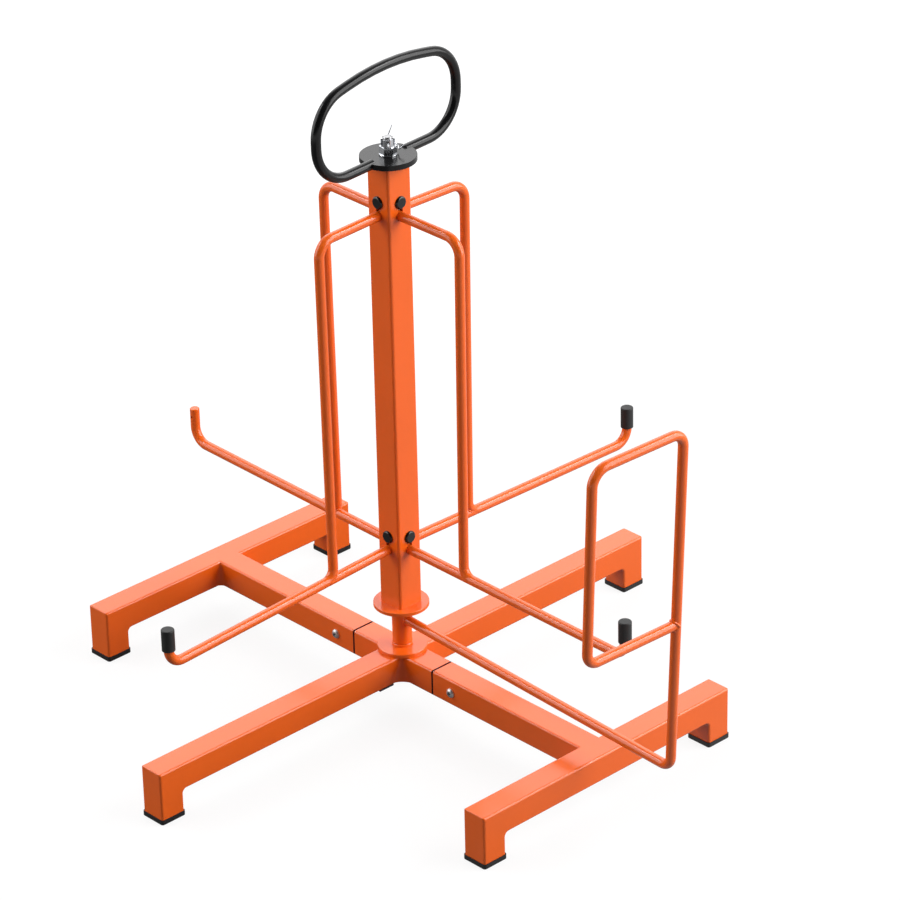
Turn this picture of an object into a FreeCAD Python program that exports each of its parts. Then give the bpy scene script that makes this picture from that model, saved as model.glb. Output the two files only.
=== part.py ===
"""Wire spool rack: a column that turns on a cross-shaped base and carries four bent-rod arms.

Millimetres, +Z up. The origin is on the floor, under the column's axis.
+X runs along the stems of the two T-shaped legs, and +Y along the long middle bar.
"""
import FreeCAD, Part
import math
import os
import re
import Sketcher

# Driving dimensions: alias, value, what it measures. Lengths are in millimetres, turns in degrees.
SIZES = [
    # Base of square tube
    ("bar_width", 30, "side of the base's square tube"),
    ("bar_wall", 1.8, "wall of the base's square tube"),
    ("bar_corner", 2.5, "outer corner radius of the square tube"),
    ("bar_lift", 30, "height of the bars' underside above the floor"),
    ("mid_bar_length", 709, "overall length of the middle bar"),
    ("leg_bar_length", 359, "overall length of each leg's cross bar"),
    ("leg_offset", 296, "distance from the column's axis to each cross bar's middle"),
    ("foot_inner_radius", 5, "radius inside the turned-down corner"),
    ("mitre_radius", 1.2, "rounding of the mitred outer corner"),
    ("stub_reach", 61, "distance from the column's axis to each stub's end"),
    ("seam_gap", 1.2, "gap between a stub's end and the leg's stem"),
    ("hub_weld_radius", 20, "radius of the hub's inner corner welds at the bars' underside"),
    ("leg_weld_radius", 12, "the same radius at the legs' inner corners"),
    ("weld_top_radius", 3, "radius of an inner corner weld near the bars' top"),
    # Joint between stub and leg
    ("insert_wall", 2, "wall of the insert tube that joins stub and stem"),
    ("insert_fit", 0.2, "clearance round the insert tube, each side"),
    ("insert_depth", 36, "length of the insert tube inside the stub"),
    ("insert_reach", 52, "length of the insert tube inside the stem"),
    ("screw_offset", 90, "distance from the column's axis to each leg screw"),
    ("screw_diameter", 6, "shank of the leg screw"),
    ("screw_hole_play", 0.2, "clearance round the screw's shank, each side"),
    ("screw_head_diameter", 10.5, "button head of the leg screw"),
    ("screw_head_height", 3, "height of the button head"),
    ("screw_head_rim", 0.8, "straight rim under the head's rounding"),
    ("screw_head_flat", 3.9, "radius of the head's flat top before it is rounded"),
    ("screw_head_round", 3, "rounding of the head"),
    ("hex_key_size", 5, "key size of the socket in the head, across flats"),
    ("hex_key_depth", 2.6, "depth of that socket"),
    ("screw_nut_size", 10, "leg nut, across flats"),
    ("screw_nut_height", 5, "height of the leg nut"),
    ("screw_washer_diameter", 12.5, "washer under the leg nut"),
    ("screw_washer_thickness", 1.4, "thickness of that washer"),
    ("screw_stick_out", 2, "length of the screw past its nut"),
    # Foot caps
    ("cap_floor", 2.5, "rubber under each foot"),
    ("cap_height", 5.5, "height of the foot cap's outside"),
    ("cap_proud", 1, "how far the cap stands out past the tube, each side"),
    ("cap_fit", 0.15, "clearance between cap and tube, each side"),
    ("cap_corner", 3, "vertical corner radius of the foot cap"),
    ("cap_edge", 0.7, "rounding of the foot cap's bottom edge"),
    ("cap_plug_rise", 12, "height of the cap's plug inside the tube"),
    ("cap_plug_wall", 2, "wall of that plug"),
    # Hub
    ("hub_disc_diameter", 54, "disc on the middle of the base"),
    ("hub_disc_thickness", 4, "thickness of that disc"),
    ("hub_boss_diameter", 22.5, "boss on the disc"),
    ("hub_boss_height", 3, "height of the boss above the disc"),
    ("edge_break", 0.5, "small chamfer on turned pieces"),
    ("pad_length", 20, "rubber pad under the middle bar, along the bar"),
    ("pad_width", 26, "the same pad, across the bar"),
    ("pad_thickness", 2.5, "thickness of the pad"),
    ("pad_offset", 36, "distance from the column's axis to the pad's middle"),
    # Spindle and what turns on it
    ("journal_diameter", 16, "spindle where the guide sleeve turns"),
    ("spindle_diameter", 14, "spindle inside the column"),
    ("thread_diameter", 10, "threaded end of the spindle"),
    ("thread_stick_out", 2, "length of the thread past the castle nut"),
    ("run_clearance", 0.05, "radial clearance of the running fits"),
    ("slip_fit", 0.1, "radial clearance of pieces that are slipped on and stay"),
    ("face_gap", 0.3, "play between faces that turn past each other"),
    ("sleeve_diameter", 21.2, "outside of the guide sleeve"),
    ("sleeve_length", 43.5, "length of the guide sleeve"),
    ("thrust_washer_diameter", 28, "washer that carries the column"),
    ("thrust_washer_thickness", 1, "thickness of that washer"),
    # Column
    ("column_width", 32, "side of the column's square tube"),
    ("column_wall", 2, "wall of the column"),
    ("column_corner", 3, "outer corner radius of the column"),
    ("column_length", 512, "length of the column's tube"),
    ("flange_diameter", 60, "round flange at the column's foot"),
    ("flange_thickness", 4, "thickness of the flange"),
    ("bush_length", 25, "length of each bush inside the column"),
    ("bush_fit", 0.15, "clearance between bush and column, each side"),
    ("spigot_diameter", 20, "round spigot of the lower bush, in the flange"),
    ("head_gap", 1.6, "gap between the column's top and the handle's disc"),
    # Sockets in the column
    ("lower_socket_height", 68.3, "height of the lower sockets above the column's lower end"),
    ("socket_spacing", 387.6, "distance between lower and upper sockets"),
    ("entry_hole", 12.6, "round entry hole of a socket"),
    ("entry_rise", 15, "height of the entry hole above the seated rod"),
    ("stud_neck", 6, "neck of the stud on an arm's end"),
    ("stud_head", 11, "head of the stud"),
    ("stud_head_thickness", 3, "thickness of the stud's head"),
    ("stud_root", 1, "length of the neck inside the rod's end"),
    ("stud_play", 0.4, "play of a seated arm, along its rod"),
    ("slot_play", 0.3, "clearance between neck and slot, each side"),
    ("plug_diameter", 14, "domed head of the plug in an entry hole"),
    ("plug_height", 2.5, "height of the plug's dome"),
    ("plug_rim", 0.5, "straight rim under the dome"),
    ("plug_depth", 5, "length of the plug's shank in the hole"),
    # Spool arms
    ("rod_diameter", 10, "round rod of the arms, the guide and the handle"),
    ("arm_upright_top", 103.2, "reach of the arm's upright at its top"),
    ("arm_upright_foot", 99.3, "reach of the arm's upright at its foot"),
    ("arm_reach", 336.7, "reach of the arm's turned-up tip"),
    ("arm_tip_rise", 40.3, "height of the tip's end above the arm"),
    ("arm_top_bend", 18, "bend radius at the top of the upright"),
    ("arm_foot_bend", 13, "bend radius at the foot of the upright"),
    ("arm_tip_bend", 18, "bend radius at the tip"),
    ("arm_strut_end", 4, "how far short of the foot bend's end the strut stops"),
    ("tip_hole", 2.4, "cross hole near the end of the tip"),
    ("tip_hole_drop", 10, "distance from the tip's end to that hole"),
    ("tip_chamfer", 0.8, "chamfer on the tip's end"),
    ("front_arm_turn", 3.3, "how far the loose front arm has turned in its sockets"),
    ("right_arm_turn", -0.5, "the same for the right arm"),
    ("rear_arm_turn", -1.5, "the same for the rear arm"),
    ("left_arm_turn", -1, "the same for the left arm"),
    ("tip_cap_diameter", 14, "push-on cap on an arm's tip"),
    ("tip_cap_length", 24, "length of that cap"),
    ("tip_cap_top", 2, "thickness of the cap's closed end"),
    ("tip_cap_fit", 0.05, "clearance between cap and rod, each side"),
    ("tip_cap_edge", 1.2, "rounding of the cap's upper edge"),
    # Guide arm
    ("guide_weld_height", 29, "height of the guide rod on its sleeve"),
    ("guide_drop", 2.8, "how far the guide rod drops on its way out"),
    ("guide_reach", 414, "reach of the guide rod's corner"),
    ("guide_rise", 387.9, "height of the loop's top above the guide rod's corner"),
    ("guide_lean", 17, "how far the upright leans out over that height"),
    ("guide_loop_width", 120.3, "width of the loop"),
    ("guide_loop_height", 218.3, "height of the loop"),
    ("guide_corner_bend", 13, "bend radius at the guide rod's corner"),
    ("guide_top_bend", 16, "bend radius at the loop's outer top corner"),
    ("guide_inner_bend", 19, "bend radius at the loop's inner top corner"),
    ("guide_low_bend", 14, "bend radius at the loop's inner low corner"),
    ("guide_turn", -2.3, "where the guide arm stands, turned from +X"),
    # Handle
    ("disc_diameter", 59.5, "disc that carries the handle"),
    ("disc_thickness", 6, "thickness of that disc"),
    ("handle_width", 206.6, "width of the handle's loop, between rod middles"),
    ("handle_shoulder_rise", 87.2, "height of the corner between side and arched top"),
    ("handle_peak_rise", 106.7, "height at which the top's two straight lines would meet"),
    ("handle_low_bend", 43, "bend radius of the loop's lower corners"),
    ("handle_shoulder_bend", 44, "bend radius of the loop's shoulders"),
    ("handle_arch_bend", 300, "bend radius of the arched top"),
    ("handle_seat_radius", 24, "distance from the axis to the rods' ends in the disc"),
    ("handle_turn", 94, "where the handle stands, turned from +X"),
    # Top fastening
    ("top_washer_diameter", 19, "washer under the castle nut"),
    ("top_washer_thickness", 1.5, "thickness of that washer"),
    ("castle_nut_size", 16, "castle nut, across flats"),
    ("castle_nut_hex_height", 8, "height of the nut's hexagon"),
    ("castle_crown_diameter", 14.6, "outside of the nut's crown"),
    ("castle_crown_height", 8.5, "height of the crown"),
    ("castle_slot_width", 3.4, "width of the crown's slots"),
    ("castle_slot_depth", 6.1, "depth of the crown's slots"),
    ("pin_diameter", 2.8, "split pin through nut and spindle"),
    ("pin_hole_play", 0.2, "clearance round the split pin, each side"),
    ("pin_eye_radius", 2, "radius of the split pin's eye, to the wire's middle"),
    ("pin_leg_offset", 0.6, "distance of each leg's middle from the pin's middle, inside the nut"),
    ("pin_bend", 2, "bend radius of the pin's legs"),
    ("pin_leg_rise", 14, "how far the first leg is bent up"),
    ("pin_leg_lean", 5, "how far that leg leans aside"),
    ("pin_leg_side", 10.8, "how far aside the second leg passes the nut"),
    ("pin_leg_drop", 8, "how far the second leg drops behind the nut"),
    ("pin_tail", 5.5, "length of the second leg's end, aside"),
    ("pin_tail_rise", 4.5, "how far that end rises"),
    ("pin_turn", -40, "where the pin's eye points, turned from +X"),
]

# Heights and lengths that follow from the driving dimensions
BAR_TOP = "(bar_lift + bar_width)"
BAR_MID = "(bar_lift + bar_width / 2)"
BAR_INSIDE = "(bar_width - 2 * bar_wall)"
INSERT_WIDTH = "(bar_width - 2 * bar_wall - 2 * insert_fit)"
LEG_FACE = "(leg_offset - bar_width / 2)"
HUB_TOP = "(bar_lift + bar_width + hub_disc_thickness + hub_boss_height)"
SLEEVE_FOOT = f"({HUB_TOP} + face_gap)"
SLEEVE_TOP = f"({SLEEVE_FOOT} + sleeve_length)"
SHOULDER = f"({SLEEVE_TOP} + face_gap)"
WASHER_TOP = f"({SHOULDER} + thrust_washer_thickness)"
FLANGE_FOOT = f"({WASHER_TOP} + face_gap)"
COLUMN_FOOT = f"({FLANGE_FOOT} + flange_thickness)"
COLUMN_TOP = f"({COLUMN_FOOT} + column_length)"
DISC_FOOT = f"({COLUMN_TOP} + head_gap)"
DISC_TOP = f"({DISC_FOOT} + disc_thickness)"
NUT_FOOT = f"({DISC_TOP} + top_washer_thickness)"
CROWN_FOOT = f"({NUT_FOOT} + castle_nut_hex_height)"
NUT_TOP = f"({CROWN_FOOT} + castle_crown_height)"
SPINDLE_TOP = f"({NUT_TOP} + thread_stick_out)"
PIN_HEIGHT = f"({NUT_TOP} - castle_slot_depth + pin_diameter / 2 + pin_hole_play)"
COLUMN_INSIDE = "(column_width - 2 * column_wall)"
LOWER_SOCKET = f"({COLUMN_FOOT} + lower_socket_height)"
UPPER_SOCKET = f"({LOWER_SOCKET} + socket_spacing)"
SLOT_WIDTH = "(stud_neck + 2 * slot_play)"
ARM_START = "(column_width / 2 + stud_play)"
STUD_FACE = "(column_width / 2 - column_wall - stud_play)"
ARM_TIP = f"({LOWER_SOCKET} + arm_tip_rise)"
GUIDE_HEIGHT = f"({SLEEVE_FOOT} + guide_weld_height)"

# Fixed values that aren't sizes of the rack
SAME_LENGTH = 0.01
CUT_PAST = "1"
QUARTER_TURN = 90
FULL_TURN = 360
CASTLE_SLOTS = 6

ALIASES = {alias for alias, _, _ in SIZES}

doc = FreeCAD.newDocument("wire_spool_rack")
sheet = doc.addObject("Spreadsheet::Sheet", "sizes")
for row, (alias, number, meaning) in enumerate(SIZES, start=1):
    sheet.set(f"A{row}", meaning)
    sheet.set(f"B{row}", str(number))
    sheet.setAlias(f"B{row}", alias)
doc.recompute()


def value(text):
    """The number that an expression of sheet aliases gives."""
    return float(sheet.evalExpression(text))


def bound(text):
    """The same expression as an object outside the sheet has to write it."""
    return re.sub(r"[a-z]\w*", lambda word: f"sizes.{word[0]}" if word[0] in ALIASES else word[0], text)


def bind(item, name, text):
    """Bind a property of an object to an expression."""
    item.setExpression(name, bound(text))


# Sketches

def origin_plane(body, role):
    """A body's own XY, XZ or YZ plane."""
    return next(feature for feature in body.Origin.OriginFeatures if feature.Role == role)


def new_sketch(body, name, role, offset="0"):
    """A sketch on one of the body's planes, moved along that plane's normal."""
    sketch = body.newObject("Sketcher::SketchObject", name)
    sketch.AttachmentSupport = [(origin_plane(body, role), "")]
    sketch.MapMode = "FlatFace"
    bind(sketch, "AttachmentOffset.Base.z", offset)
    return sketch


def constrain(sketch, kind, *where, text):
    """Add a dimension whose value follows an expression."""
    index = sketch.addConstraint(Sketcher.Constraint(kind, *where, value(text)))
    bind(sketch, f"Constraints[{index}]", text)


def pin_point(sketch, geometry, end, across, up):
    """Fix a point of the sketch by its two distances from the origin."""
    constrain(sketch, "DistanceX", -1, 1, geometry, end, text=across)
    constrain(sketch, "DistanceY", -1, 1, geometry, end, text=up)


def add_circle(sketch, diameter, across="0", up="0"):
    """A circle given by its diameter and its middle."""
    middle = FreeCAD.Vector(value(across), value(up), 0)
    circle = Part.Circle(middle, FreeCAD.Vector(0, 0, 1), value(diameter) / 2)
    index = sketch.addGeometry(circle, False)
    pin_point(sketch, index, 3, across, up)
    constrain(sketch, "Diameter", index, text=diameter)


def corner_arc(before, corner, after, radius):
    """The arc that rounds a corner, its two tangent points, and whether it turns left."""
    towards = (before - corner).normalize()
    away = (after - corner).normalize()
    half_turn = towards.getAngle(away) / 2
    start = corner + towards * (radius / math.tan(half_turn))
    end = corner + away * (radius / math.tan(half_turn))
    middle = corner + (towards + away).normalize() * (radius / math.sin(half_turn))
    turns_left = (corner - before).cross(after - corner).z > 0
    first, last = (start, end) if turns_left else (end, start)
    angle_first = math.atan2(first.y - middle.y, first.x - middle.x)
    angle_last = math.atan2(last.y - middle.y, last.x - middle.x)
    circle = Part.Circle(middle, FreeCAD.Vector(0, 0, 1), radius)
    return Part.ArcOfCircle(circle, angle_first, angle_last), start, end, turns_left


def add_route(sketch, corners, closed=False):
    """Straight runs through the given corners. A corner is (across, up) or (across, up, radius)."""
    count = len(corners)
    points = [FreeCAD.Vector(value(corner[0]), value(corner[1]), 0) for corner in corners]
    starts = list(points)
    ends = list(points)
    arcs = {}
    for index, corner in enumerate(corners):
        if len(corner) == 3:
            before = points[index - 1]
            after = points[(index + 1) % count]
            arc, start, end, turns_left = corner_arc(before, points[index], after, value(corner[2]))
            ends[index] = start
            starts[index] = end
            arcs[index] = (sketch.addGeometry(arc, False), turns_left)
    run_count = count if closed else count - 1
    runs = [sketch.addGeometry(Part.LineSegment(starts[index], ends[(index + 1) % count]), False)
            for index in range(run_count)]
    for index, corner in enumerate(corners):
        run_in = runs[index - 1]
        if index in arcs:
            run_out = runs[index]
            arc, turns_left = arcs[index]
            end_in, end_out = (1, 2) if turns_left else (2, 1)
            sketch.addConstraint(Sketcher.Constraint("Tangent", run_in, 2, arc, end_in))
            sketch.addConstraint(Sketcher.Constraint("Tangent", run_out, 1, arc, end_out))
            constrain(sketch, "Radius", arc, text=corner[2])
            mark = sketch.addGeometry(Part.Point(points[index]), True)
            sketch.addConstraint(Sketcher.Constraint("PointOnObject", mark, 1, run_in))
            sketch.addConstraint(Sketcher.Constraint("PointOnObject", mark, 1, run_out))
            pin_point(sketch, mark, 1, corner[0], corner[1])
        elif closed or 0 < index < count - 1:
            run_out = runs[index]
            sketch.addConstraint(Sketcher.Constraint("Coincident", run_in, 2, run_out, 1))
            pin_point(sketch, run_out, 1, corner[0], corner[1])
        elif index == 0:
            pin_point(sketch, runs[0], 1, corner[0], corner[1])
        else:
            pin_point(sketch, run_in, 2, corner[0], corner[1])


def add_rounded_square(sketch, width, radius, across="0", up="0"):
    """A square with rounded corners."""
    left = f"({across}) - {width} / 2"
    right = f"({across}) + {width} / 2"
    low = f"({up}) - {width} / 2"
    high = f"({up}) + {width} / 2"
    corners = [(left, low, radius), (right, low, radius), (right, high, radius), (left, high, radius)]
    add_route(sketch, corners, closed=True)


def add_hexagon(sketch, across_flats):
    """A regular hexagon about the origin, with its flats across the sketch's first axis."""
    half = f"{across_flats} / 2"
    side = f"{across_flats} / 2 / sqrt(3)"
    add_route(sketch, [(half, f"-{side}"), (half, side), ("0", f"2 * {side}"),
                       (f"-{half}", side), (f"-{half}", f"-{side}"), ("0", f"-2 * {side}")], closed=True)


# Features of a body

def new_body(label):
    """An empty body."""
    body = doc.addObject("PartDesign::Body", label)
    body.Label = label
    return body


def place(item, across="0", along="0", up="0", turn="0"):
    """Bind an object's place, and its turn about the upright axis."""
    item.Placement = FreeCAD.Placement(FreeCAD.Vector(), FreeCAD.Rotation(FreeCAD.Vector(0, 0, 1), 0))
    bind(item, "Placement.Base.x", across)
    bind(item, "Placement.Base.y", along)
    bind(item, "Placement.Base.z", up)
    bind(item, "Placement.Rotation.Angle", turn)


def extrude(body, kind, sketch, length, both_ways=False, reverse=False):
    """Pad or pocket a sketch by a length that follows an expression."""
    feature = body.newObject(f"PartDesign::{kind}", f"{sketch.Name}_{kind}")
    feature.Profile = sketch
    feature.SideType = "Symmetric" if both_ways else "One side"
    feature.Reversed = reverse
    bind(feature, "Length", length)
    sketch.Visibility = False
    doc.recompute()
    return feature


def revolve(body, name, half_section):
    """Turn a half section about the upright axis. The section's corners are (radius, height)."""
    sketch = new_sketch(body, f"{name}_section", "XZ_Plane")
    add_route(sketch, half_section, closed=True)
    feature = body.newObject("PartDesign::Revolution", f"{name}_turned")
    feature.Profile = sketch
    feature.ReferenceAxis = (sketch, ["V_Axis"])
    doc.recompute()
    return feature


def edges_where(shape, test):
    """Names of a shape's edges whose middle and ends all pass a test."""
    names = []
    for index, edge in enumerate(shape.Edges, start=1):
        middle = edge.valueAt((edge.FirstParameter + edge.LastParameter) / 2)
        if all(test(point) for point in [middle] + [vertex.Point for vertex in edge.Vertexes]):
            names.append(f"Edge{index}")
    return names


def dress(body, kind, name, size, test):
    """Fillet or chamfer the edges of the body's tip that pass a test."""
    base = body.Tip
    names = edges_where(base.Shape, test)
    feature = body.newObject(f"PartDesign::{kind}", name)
    feature.Base = (base, names)
    bind(feature, "Radius" if kind == "Fillet" else "Size", size)
    doc.recompute()
    return feature


def near(number, target):
    """Whether two lengths are the same to a hundredth."""
    return abs(number - target) < SAME_LENGTH


# Base

def bar_outline(length, foot, top, width, lift, inner_radius=None):
    """Corners of a bar with turned-down ends, seen from the side."""
    half = f"{length} / 2"
    inner = f"({length} / 2 - {width})"
    inner_corner = () if inner_radius is None else (inner_radius,)
    return [(f"-{half}", foot), (f"-{inner}", foot), (f"-{inner}", lift, *inner_corner),
            (inner, lift, *inner_corner), (inner, foot), (half, foot), (half, top), (f"-{half}", top)]


def bar_with_feet(body, name, length, offset):
    """The solid outer form of a bar along Y, with rounded edges and mitred, turned-down ends."""
    sketch = new_sketch(body, f"{name}_side", "YZ_Plane", offset)
    add_route(sketch, bar_outline(length, "cap_floor", BAR_TOP, "bar_width", "bar_lift", "foot_inner_radius"),
              closed=True)
    extrude(body, "Pad", sketch, "bar_width", both_ways=True)
    half_width = value("bar_width") / 2
    middle = value(offset)
    half_length = value(length) / 2
    top = value(BAR_TOP)
    dress(body, "Fillet", f"{name}_mitres", "mitre_radius",
          lambda point: near(abs(point.y), half_length) and near(point.z, top))
    dress(body, "Fillet", f"{name}_edges", "bar_corner",
          lambda point: near(abs(point.x - middle), half_width))


def hollow_bar(body, name, length, offset):
    """The inside of that bar, open at its feet."""
    sketch = new_sketch(body, f"{name}_inside", "YZ_Plane", offset)
    inside_length = f"({length} - 2 * bar_wall)"
    inside_top = f"({BAR_TOP} - bar_wall)"
    inside_lift = "(bar_lift + bar_wall)"
    add_route(sketch, bar_outline(inside_length, "0", inside_top, BAR_INSIDE, inside_lift), closed=True)
    extrude(body, "Pocket", sketch, BAR_INSIDE, both_ways=True)


def corner_weld(body, name, corner, side_x, side_y, foot_radius):
    """The weld in an upright inner corner: a concave fillet that narrows as it rises."""
    sections = []
    for level, (height, radius) in enumerate([("bar_lift + bar_corner", foot_radius),
                                              (f"{BAR_TOP} - bar_corner", "weld_top_radius")]):
        sketch = new_sketch(body, f"{name}_{level}", "XY_Plane", height)
        corner_y = f"{side_y} * bar_width / 2"
        foot = FreeCAD.Vector(value(corner), value(corner_y), 0)
        size = value(radius)
        along_x = foot + FreeCAD.Vector(side_x * size, 0, 0)
        along_y = foot + FreeCAD.Vector(0, side_y * size, 0)
        middle = foot + FreeCAD.Vector(side_x * size, side_y * size, 0)
        circle = Part.Circle(middle, FreeCAD.Vector(0, 0, 1), size)
        counter_clockwise = side_x * side_y < 0
        first, last = (along_x, along_y) if counter_clockwise else (along_y, along_x)
        angle_first = math.atan2(first.y - middle.y, first.x - middle.x)
        angle_last = math.atan2(last.y - middle.y, last.x - middle.x)
        line_x = sketch.addGeometry(Part.LineSegment(foot, along_x), False)
        line_y = sketch.addGeometry(Part.LineSegment(along_y, foot), False)
        arc = sketch.addGeometry(Part.ArcOfCircle(circle, angle_first, angle_last), False)
        end_x, end_y = (1, 2) if counter_clockwise else (2, 1)
        sketch.addConstraint(Sketcher.Constraint("Coincident", line_y, 2, line_x, 1))
        sketch.addConstraint(Sketcher.Constraint("Tangent", line_x, 2, arc, end_x))
        sketch.addConstraint(Sketcher.Constraint("Tangent", line_y, 1, arc, end_y))
        sketch.addConstraint(Sketcher.Constraint("Horizontal", line_x))
        sketch.addConstraint(Sketcher.Constraint("Vertical", line_y))
        pin_point(sketch, line_x, 1, corner, corner_y)
        constrain(sketch, "Radius", arc, text=radius)
        sections.append(sketch)
    loft = body.newObject("PartDesign::AdditiveLoft", f"{name}_loft")
    loft.Profile = sections[0]
    loft.Sections = [sections[1]]
    loft.Ruled = True
    doc.recompute()


def hub_frame():
    """Middle bar with its two welded stubs."""
    body = new_body("hub_frame")
    bar_with_feet(body, "mid_bar", "mid_bar_length", "0")
    stub = new_sketch(body, "stub_end", "YZ_Plane")
    add_rounded_square(stub, "bar_width", "bar_corner", "0", BAR_MID)
    extrude(body, "Pad", stub, "2 * stub_reach", both_ways=True)
    for side_x in (-1, 1):
        for side_y in (-1, 1):
            name = f"hub_weld_{side_x + 1}{side_y + 1}"
            corner_weld(body, name, f"{side_x} * bar_width / 2", side_x, side_y, "hub_weld_radius")
    hollow_bar(body, "mid_bar", "mid_bar_length", "0")
    for side_x in (-1, 1):
        inside = new_sketch(body, f"stub_inside_{side_x + 1}", "YZ_Plane", f"{side_x} * bar_width / 2")
        add_rounded_square(inside, BAR_INSIDE, "bar_corner - bar_wall", "0", BAR_MID)
        extrude(body, "Pocket", inside, "stub_reach", reverse=side_x > 0)
    bore = new_sketch(body, "spindle_hole", "XY_Plane")
    add_circle(bore, "journal_diameter + 2 * slip_fit")
    extrude(body, "Pocket", bore, f"{BAR_TOP} + {CUT_PAST}", reverse=True)
    return body


def leg(label, turn):
    """T-shaped leg: a cross bar with feet, and the stem that is pushed onto the stub's insert."""
    body = new_body(label)
    bar_with_feet(body, f"{label}_bar", "leg_bar_length", "leg_offset")
    stem = new_sketch(body, f"{label}_stem_end", "YZ_Plane", "stub_reach + seam_gap")
    add_rounded_square(stem, "bar_width", "bar_corner", "0", BAR_MID)
    extrude(body, "Pad", stem, f"{LEG_FACE} + bar_corner - stub_reach - seam_gap")
    for side_y in (-1, 1):
        corner_weld(body, f"{label}_weld_{side_y + 1}", LEG_FACE, -1, side_y, "leg_weld_radius")
    hollow_bar(body, f"{label}_bar", "leg_bar_length", "leg_offset")
    inside = new_sketch(body, f"{label}_stem_inside", "YZ_Plane", LEG_FACE)
    add_rounded_square(inside, BAR_INSIDE, "bar_corner - bar_wall", "0", BAR_MID)
    extrude(body, "Pocket", inside, f"{LEG_FACE} - stub_reach")
    screw_hole(body, f"{label}_screw_hole")
    place(body, turn=turn)
    return body


def screw_hole(body, name):
    """The cross hole for a leg screw."""
    sketch = new_sketch(body, name, "XZ_Plane")
    add_circle(sketch, "screw_diameter + 2 * screw_hole_play", "screw_offset", BAR_MID)
    extrude(body, "Pocket", sketch, "2 * bar_width", both_ways=True)


def insert_tube(label, turn):
    """The smaller square tube inside stub and stem."""
    body = new_body(label)
    outside = new_sketch(body, f"{label}_outside", "YZ_Plane", "stub_reach - insert_depth")
    add_rounded_square(outside, INSERT_WIDTH, "bar_corner", "0", BAR_MID)
    extrude(body, "Pad", outside, "insert_depth + insert_reach")
    inside = new_sketch(body, f"{label}_inside", "YZ_Plane", "stub_reach - insert_depth")
    inside_width = f"({INSERT_WIDTH} - 2 * insert_wall)"
    add_rounded_square(inside, inside_width, "bar_corner - insert_wall", "0", BAR_MID)
    extrude(body, "Pocket", inside, "insert_depth + insert_reach", reverse=True)
    screw_hole(body, f"{label}_screw_hole")
    place(body, turn=turn)
    return body


def foot_cap(label, across, along):
    """Rubber cap under a foot: a shallow cup round the tube, with a hollow plug inside it."""
    body = new_body(label)
    outside = new_sketch(body, f"{label}_outside", "XY_Plane")
    add_rounded_square(outside, "(bar_width + 2 * cap_proud)", "cap_corner")
    extrude(body, "Pad", outside, "cap_height")
    dress(body, "Fillet", f"{label}_edge", "cap_edge", lambda point: near(point.z, 0))
    seat = new_sketch(body, f"{label}_seat", "XY_Plane", "cap_floor")
    add_rounded_square(seat, "(bar_width + 2 * cap_fit)", "bar_corner")
    extrude(body, "Pocket", seat, "cap_height", reverse=True)
    plug = new_sketch(body, f"{label}_plug", "XY_Plane", "cap_floor / 2")
    add_rounded_square(plug, f"({BAR_INSIDE} - 2 * cap_fit)", "bar_corner")
    extrude(body, "Pad", plug, "cap_floor / 2 + cap_plug_rise")
    hollow = new_sketch(body, f"{label}_hollow", "XY_Plane", "cap_floor")
    add_rounded_square(hollow, f"({BAR_INSIDE} - 2 * cap_fit - 2 * cap_plug_wall)", "bar_corner / 2")
    extrude(body, "Pocket", hollow, f"cap_plug_rise + {CUT_PAST}", reverse=True)
    place(body, across, along)
    return body


def group(label, members):
    """Several separate solids under one name."""
    compound = doc.addObject("Part::Compound", label)
    compound.Label = label
    compound.Links = members
    return compound


def lay_crosswise(item, across, along):
    """Lay an upright piece along Y at the height of the bars, pointing to -Y."""
    laid = FreeCAD.Rotation(FreeCAD.Vector(1, 0, 0), QUARTER_TURN)
    item.Placement = FreeCAD.Placement(FreeCAD.Vector(), laid)
    bind(item, "Placement.Base.x", across)
    bind(item, "Placement.Base.y", along)
    bind(item, "Placement.Base.z", BAR_MID)


def leg_screw(label, across):
    """Button-head screw with a hexagonal socket. Upright, its head's underside is at height 0."""
    body = new_body(label)
    grip = "(bar_width + screw_washer_thickness + screw_nut_height + screw_stick_out)"
    revolve(body, label, [("0", f"-{grip}"), ("screw_diameter / 2 - edge_break", f"-{grip}"),
                          ("screw_diameter / 2", f"-{grip} + edge_break"), ("screw_diameter / 2", "0"),
                          ("screw_head_diameter / 2", "0"), ("screw_head_diameter / 2", "screw_head_rim"),
                          ("screw_head_flat", "screw_head_height", "screw_head_round"),
                          ("0", "screw_head_height")])
    socket = new_sketch(body, f"{label}_socket", "XY_Plane", "screw_head_height")
    add_hexagon(socket, "hex_key_size")
    extrude(body, "Pocket", socket, "hex_key_depth")
    lay_crosswise(body, across, "-bar_width / 2")
    return body


def screw_washer(label, across):
    """Flat washer on the far side of the stem."""
    body = new_body(label)
    ring = new_sketch(body, f"{label}_ring", "XY_Plane")
    add_circle(ring, "screw_washer_diameter")
    add_circle(ring, "screw_diameter + 2 * screw_hole_play")
    extrude(body, "Pad", ring, "screw_washer_thickness")
    lay_crosswise(body, across, "bar_width / 2 + screw_washer_thickness")
    return body


def screw_nut(label, across):
    """Hexagon nut on the washer."""
    body = new_body(label)
    hexagon = new_sketch(body, f"{label}_hexagon", "XY_Plane")
    add_hexagon(hexagon, "screw_nut_size")
    add_circle(hexagon, "screw_diameter + 2 * slip_fit")
    extrude(body, "Pad", hexagon, "screw_nut_height")
    lay_crosswise(body, across, "bar_width / 2 + screw_washer_thickness + screw_nut_height")
    return body


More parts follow.
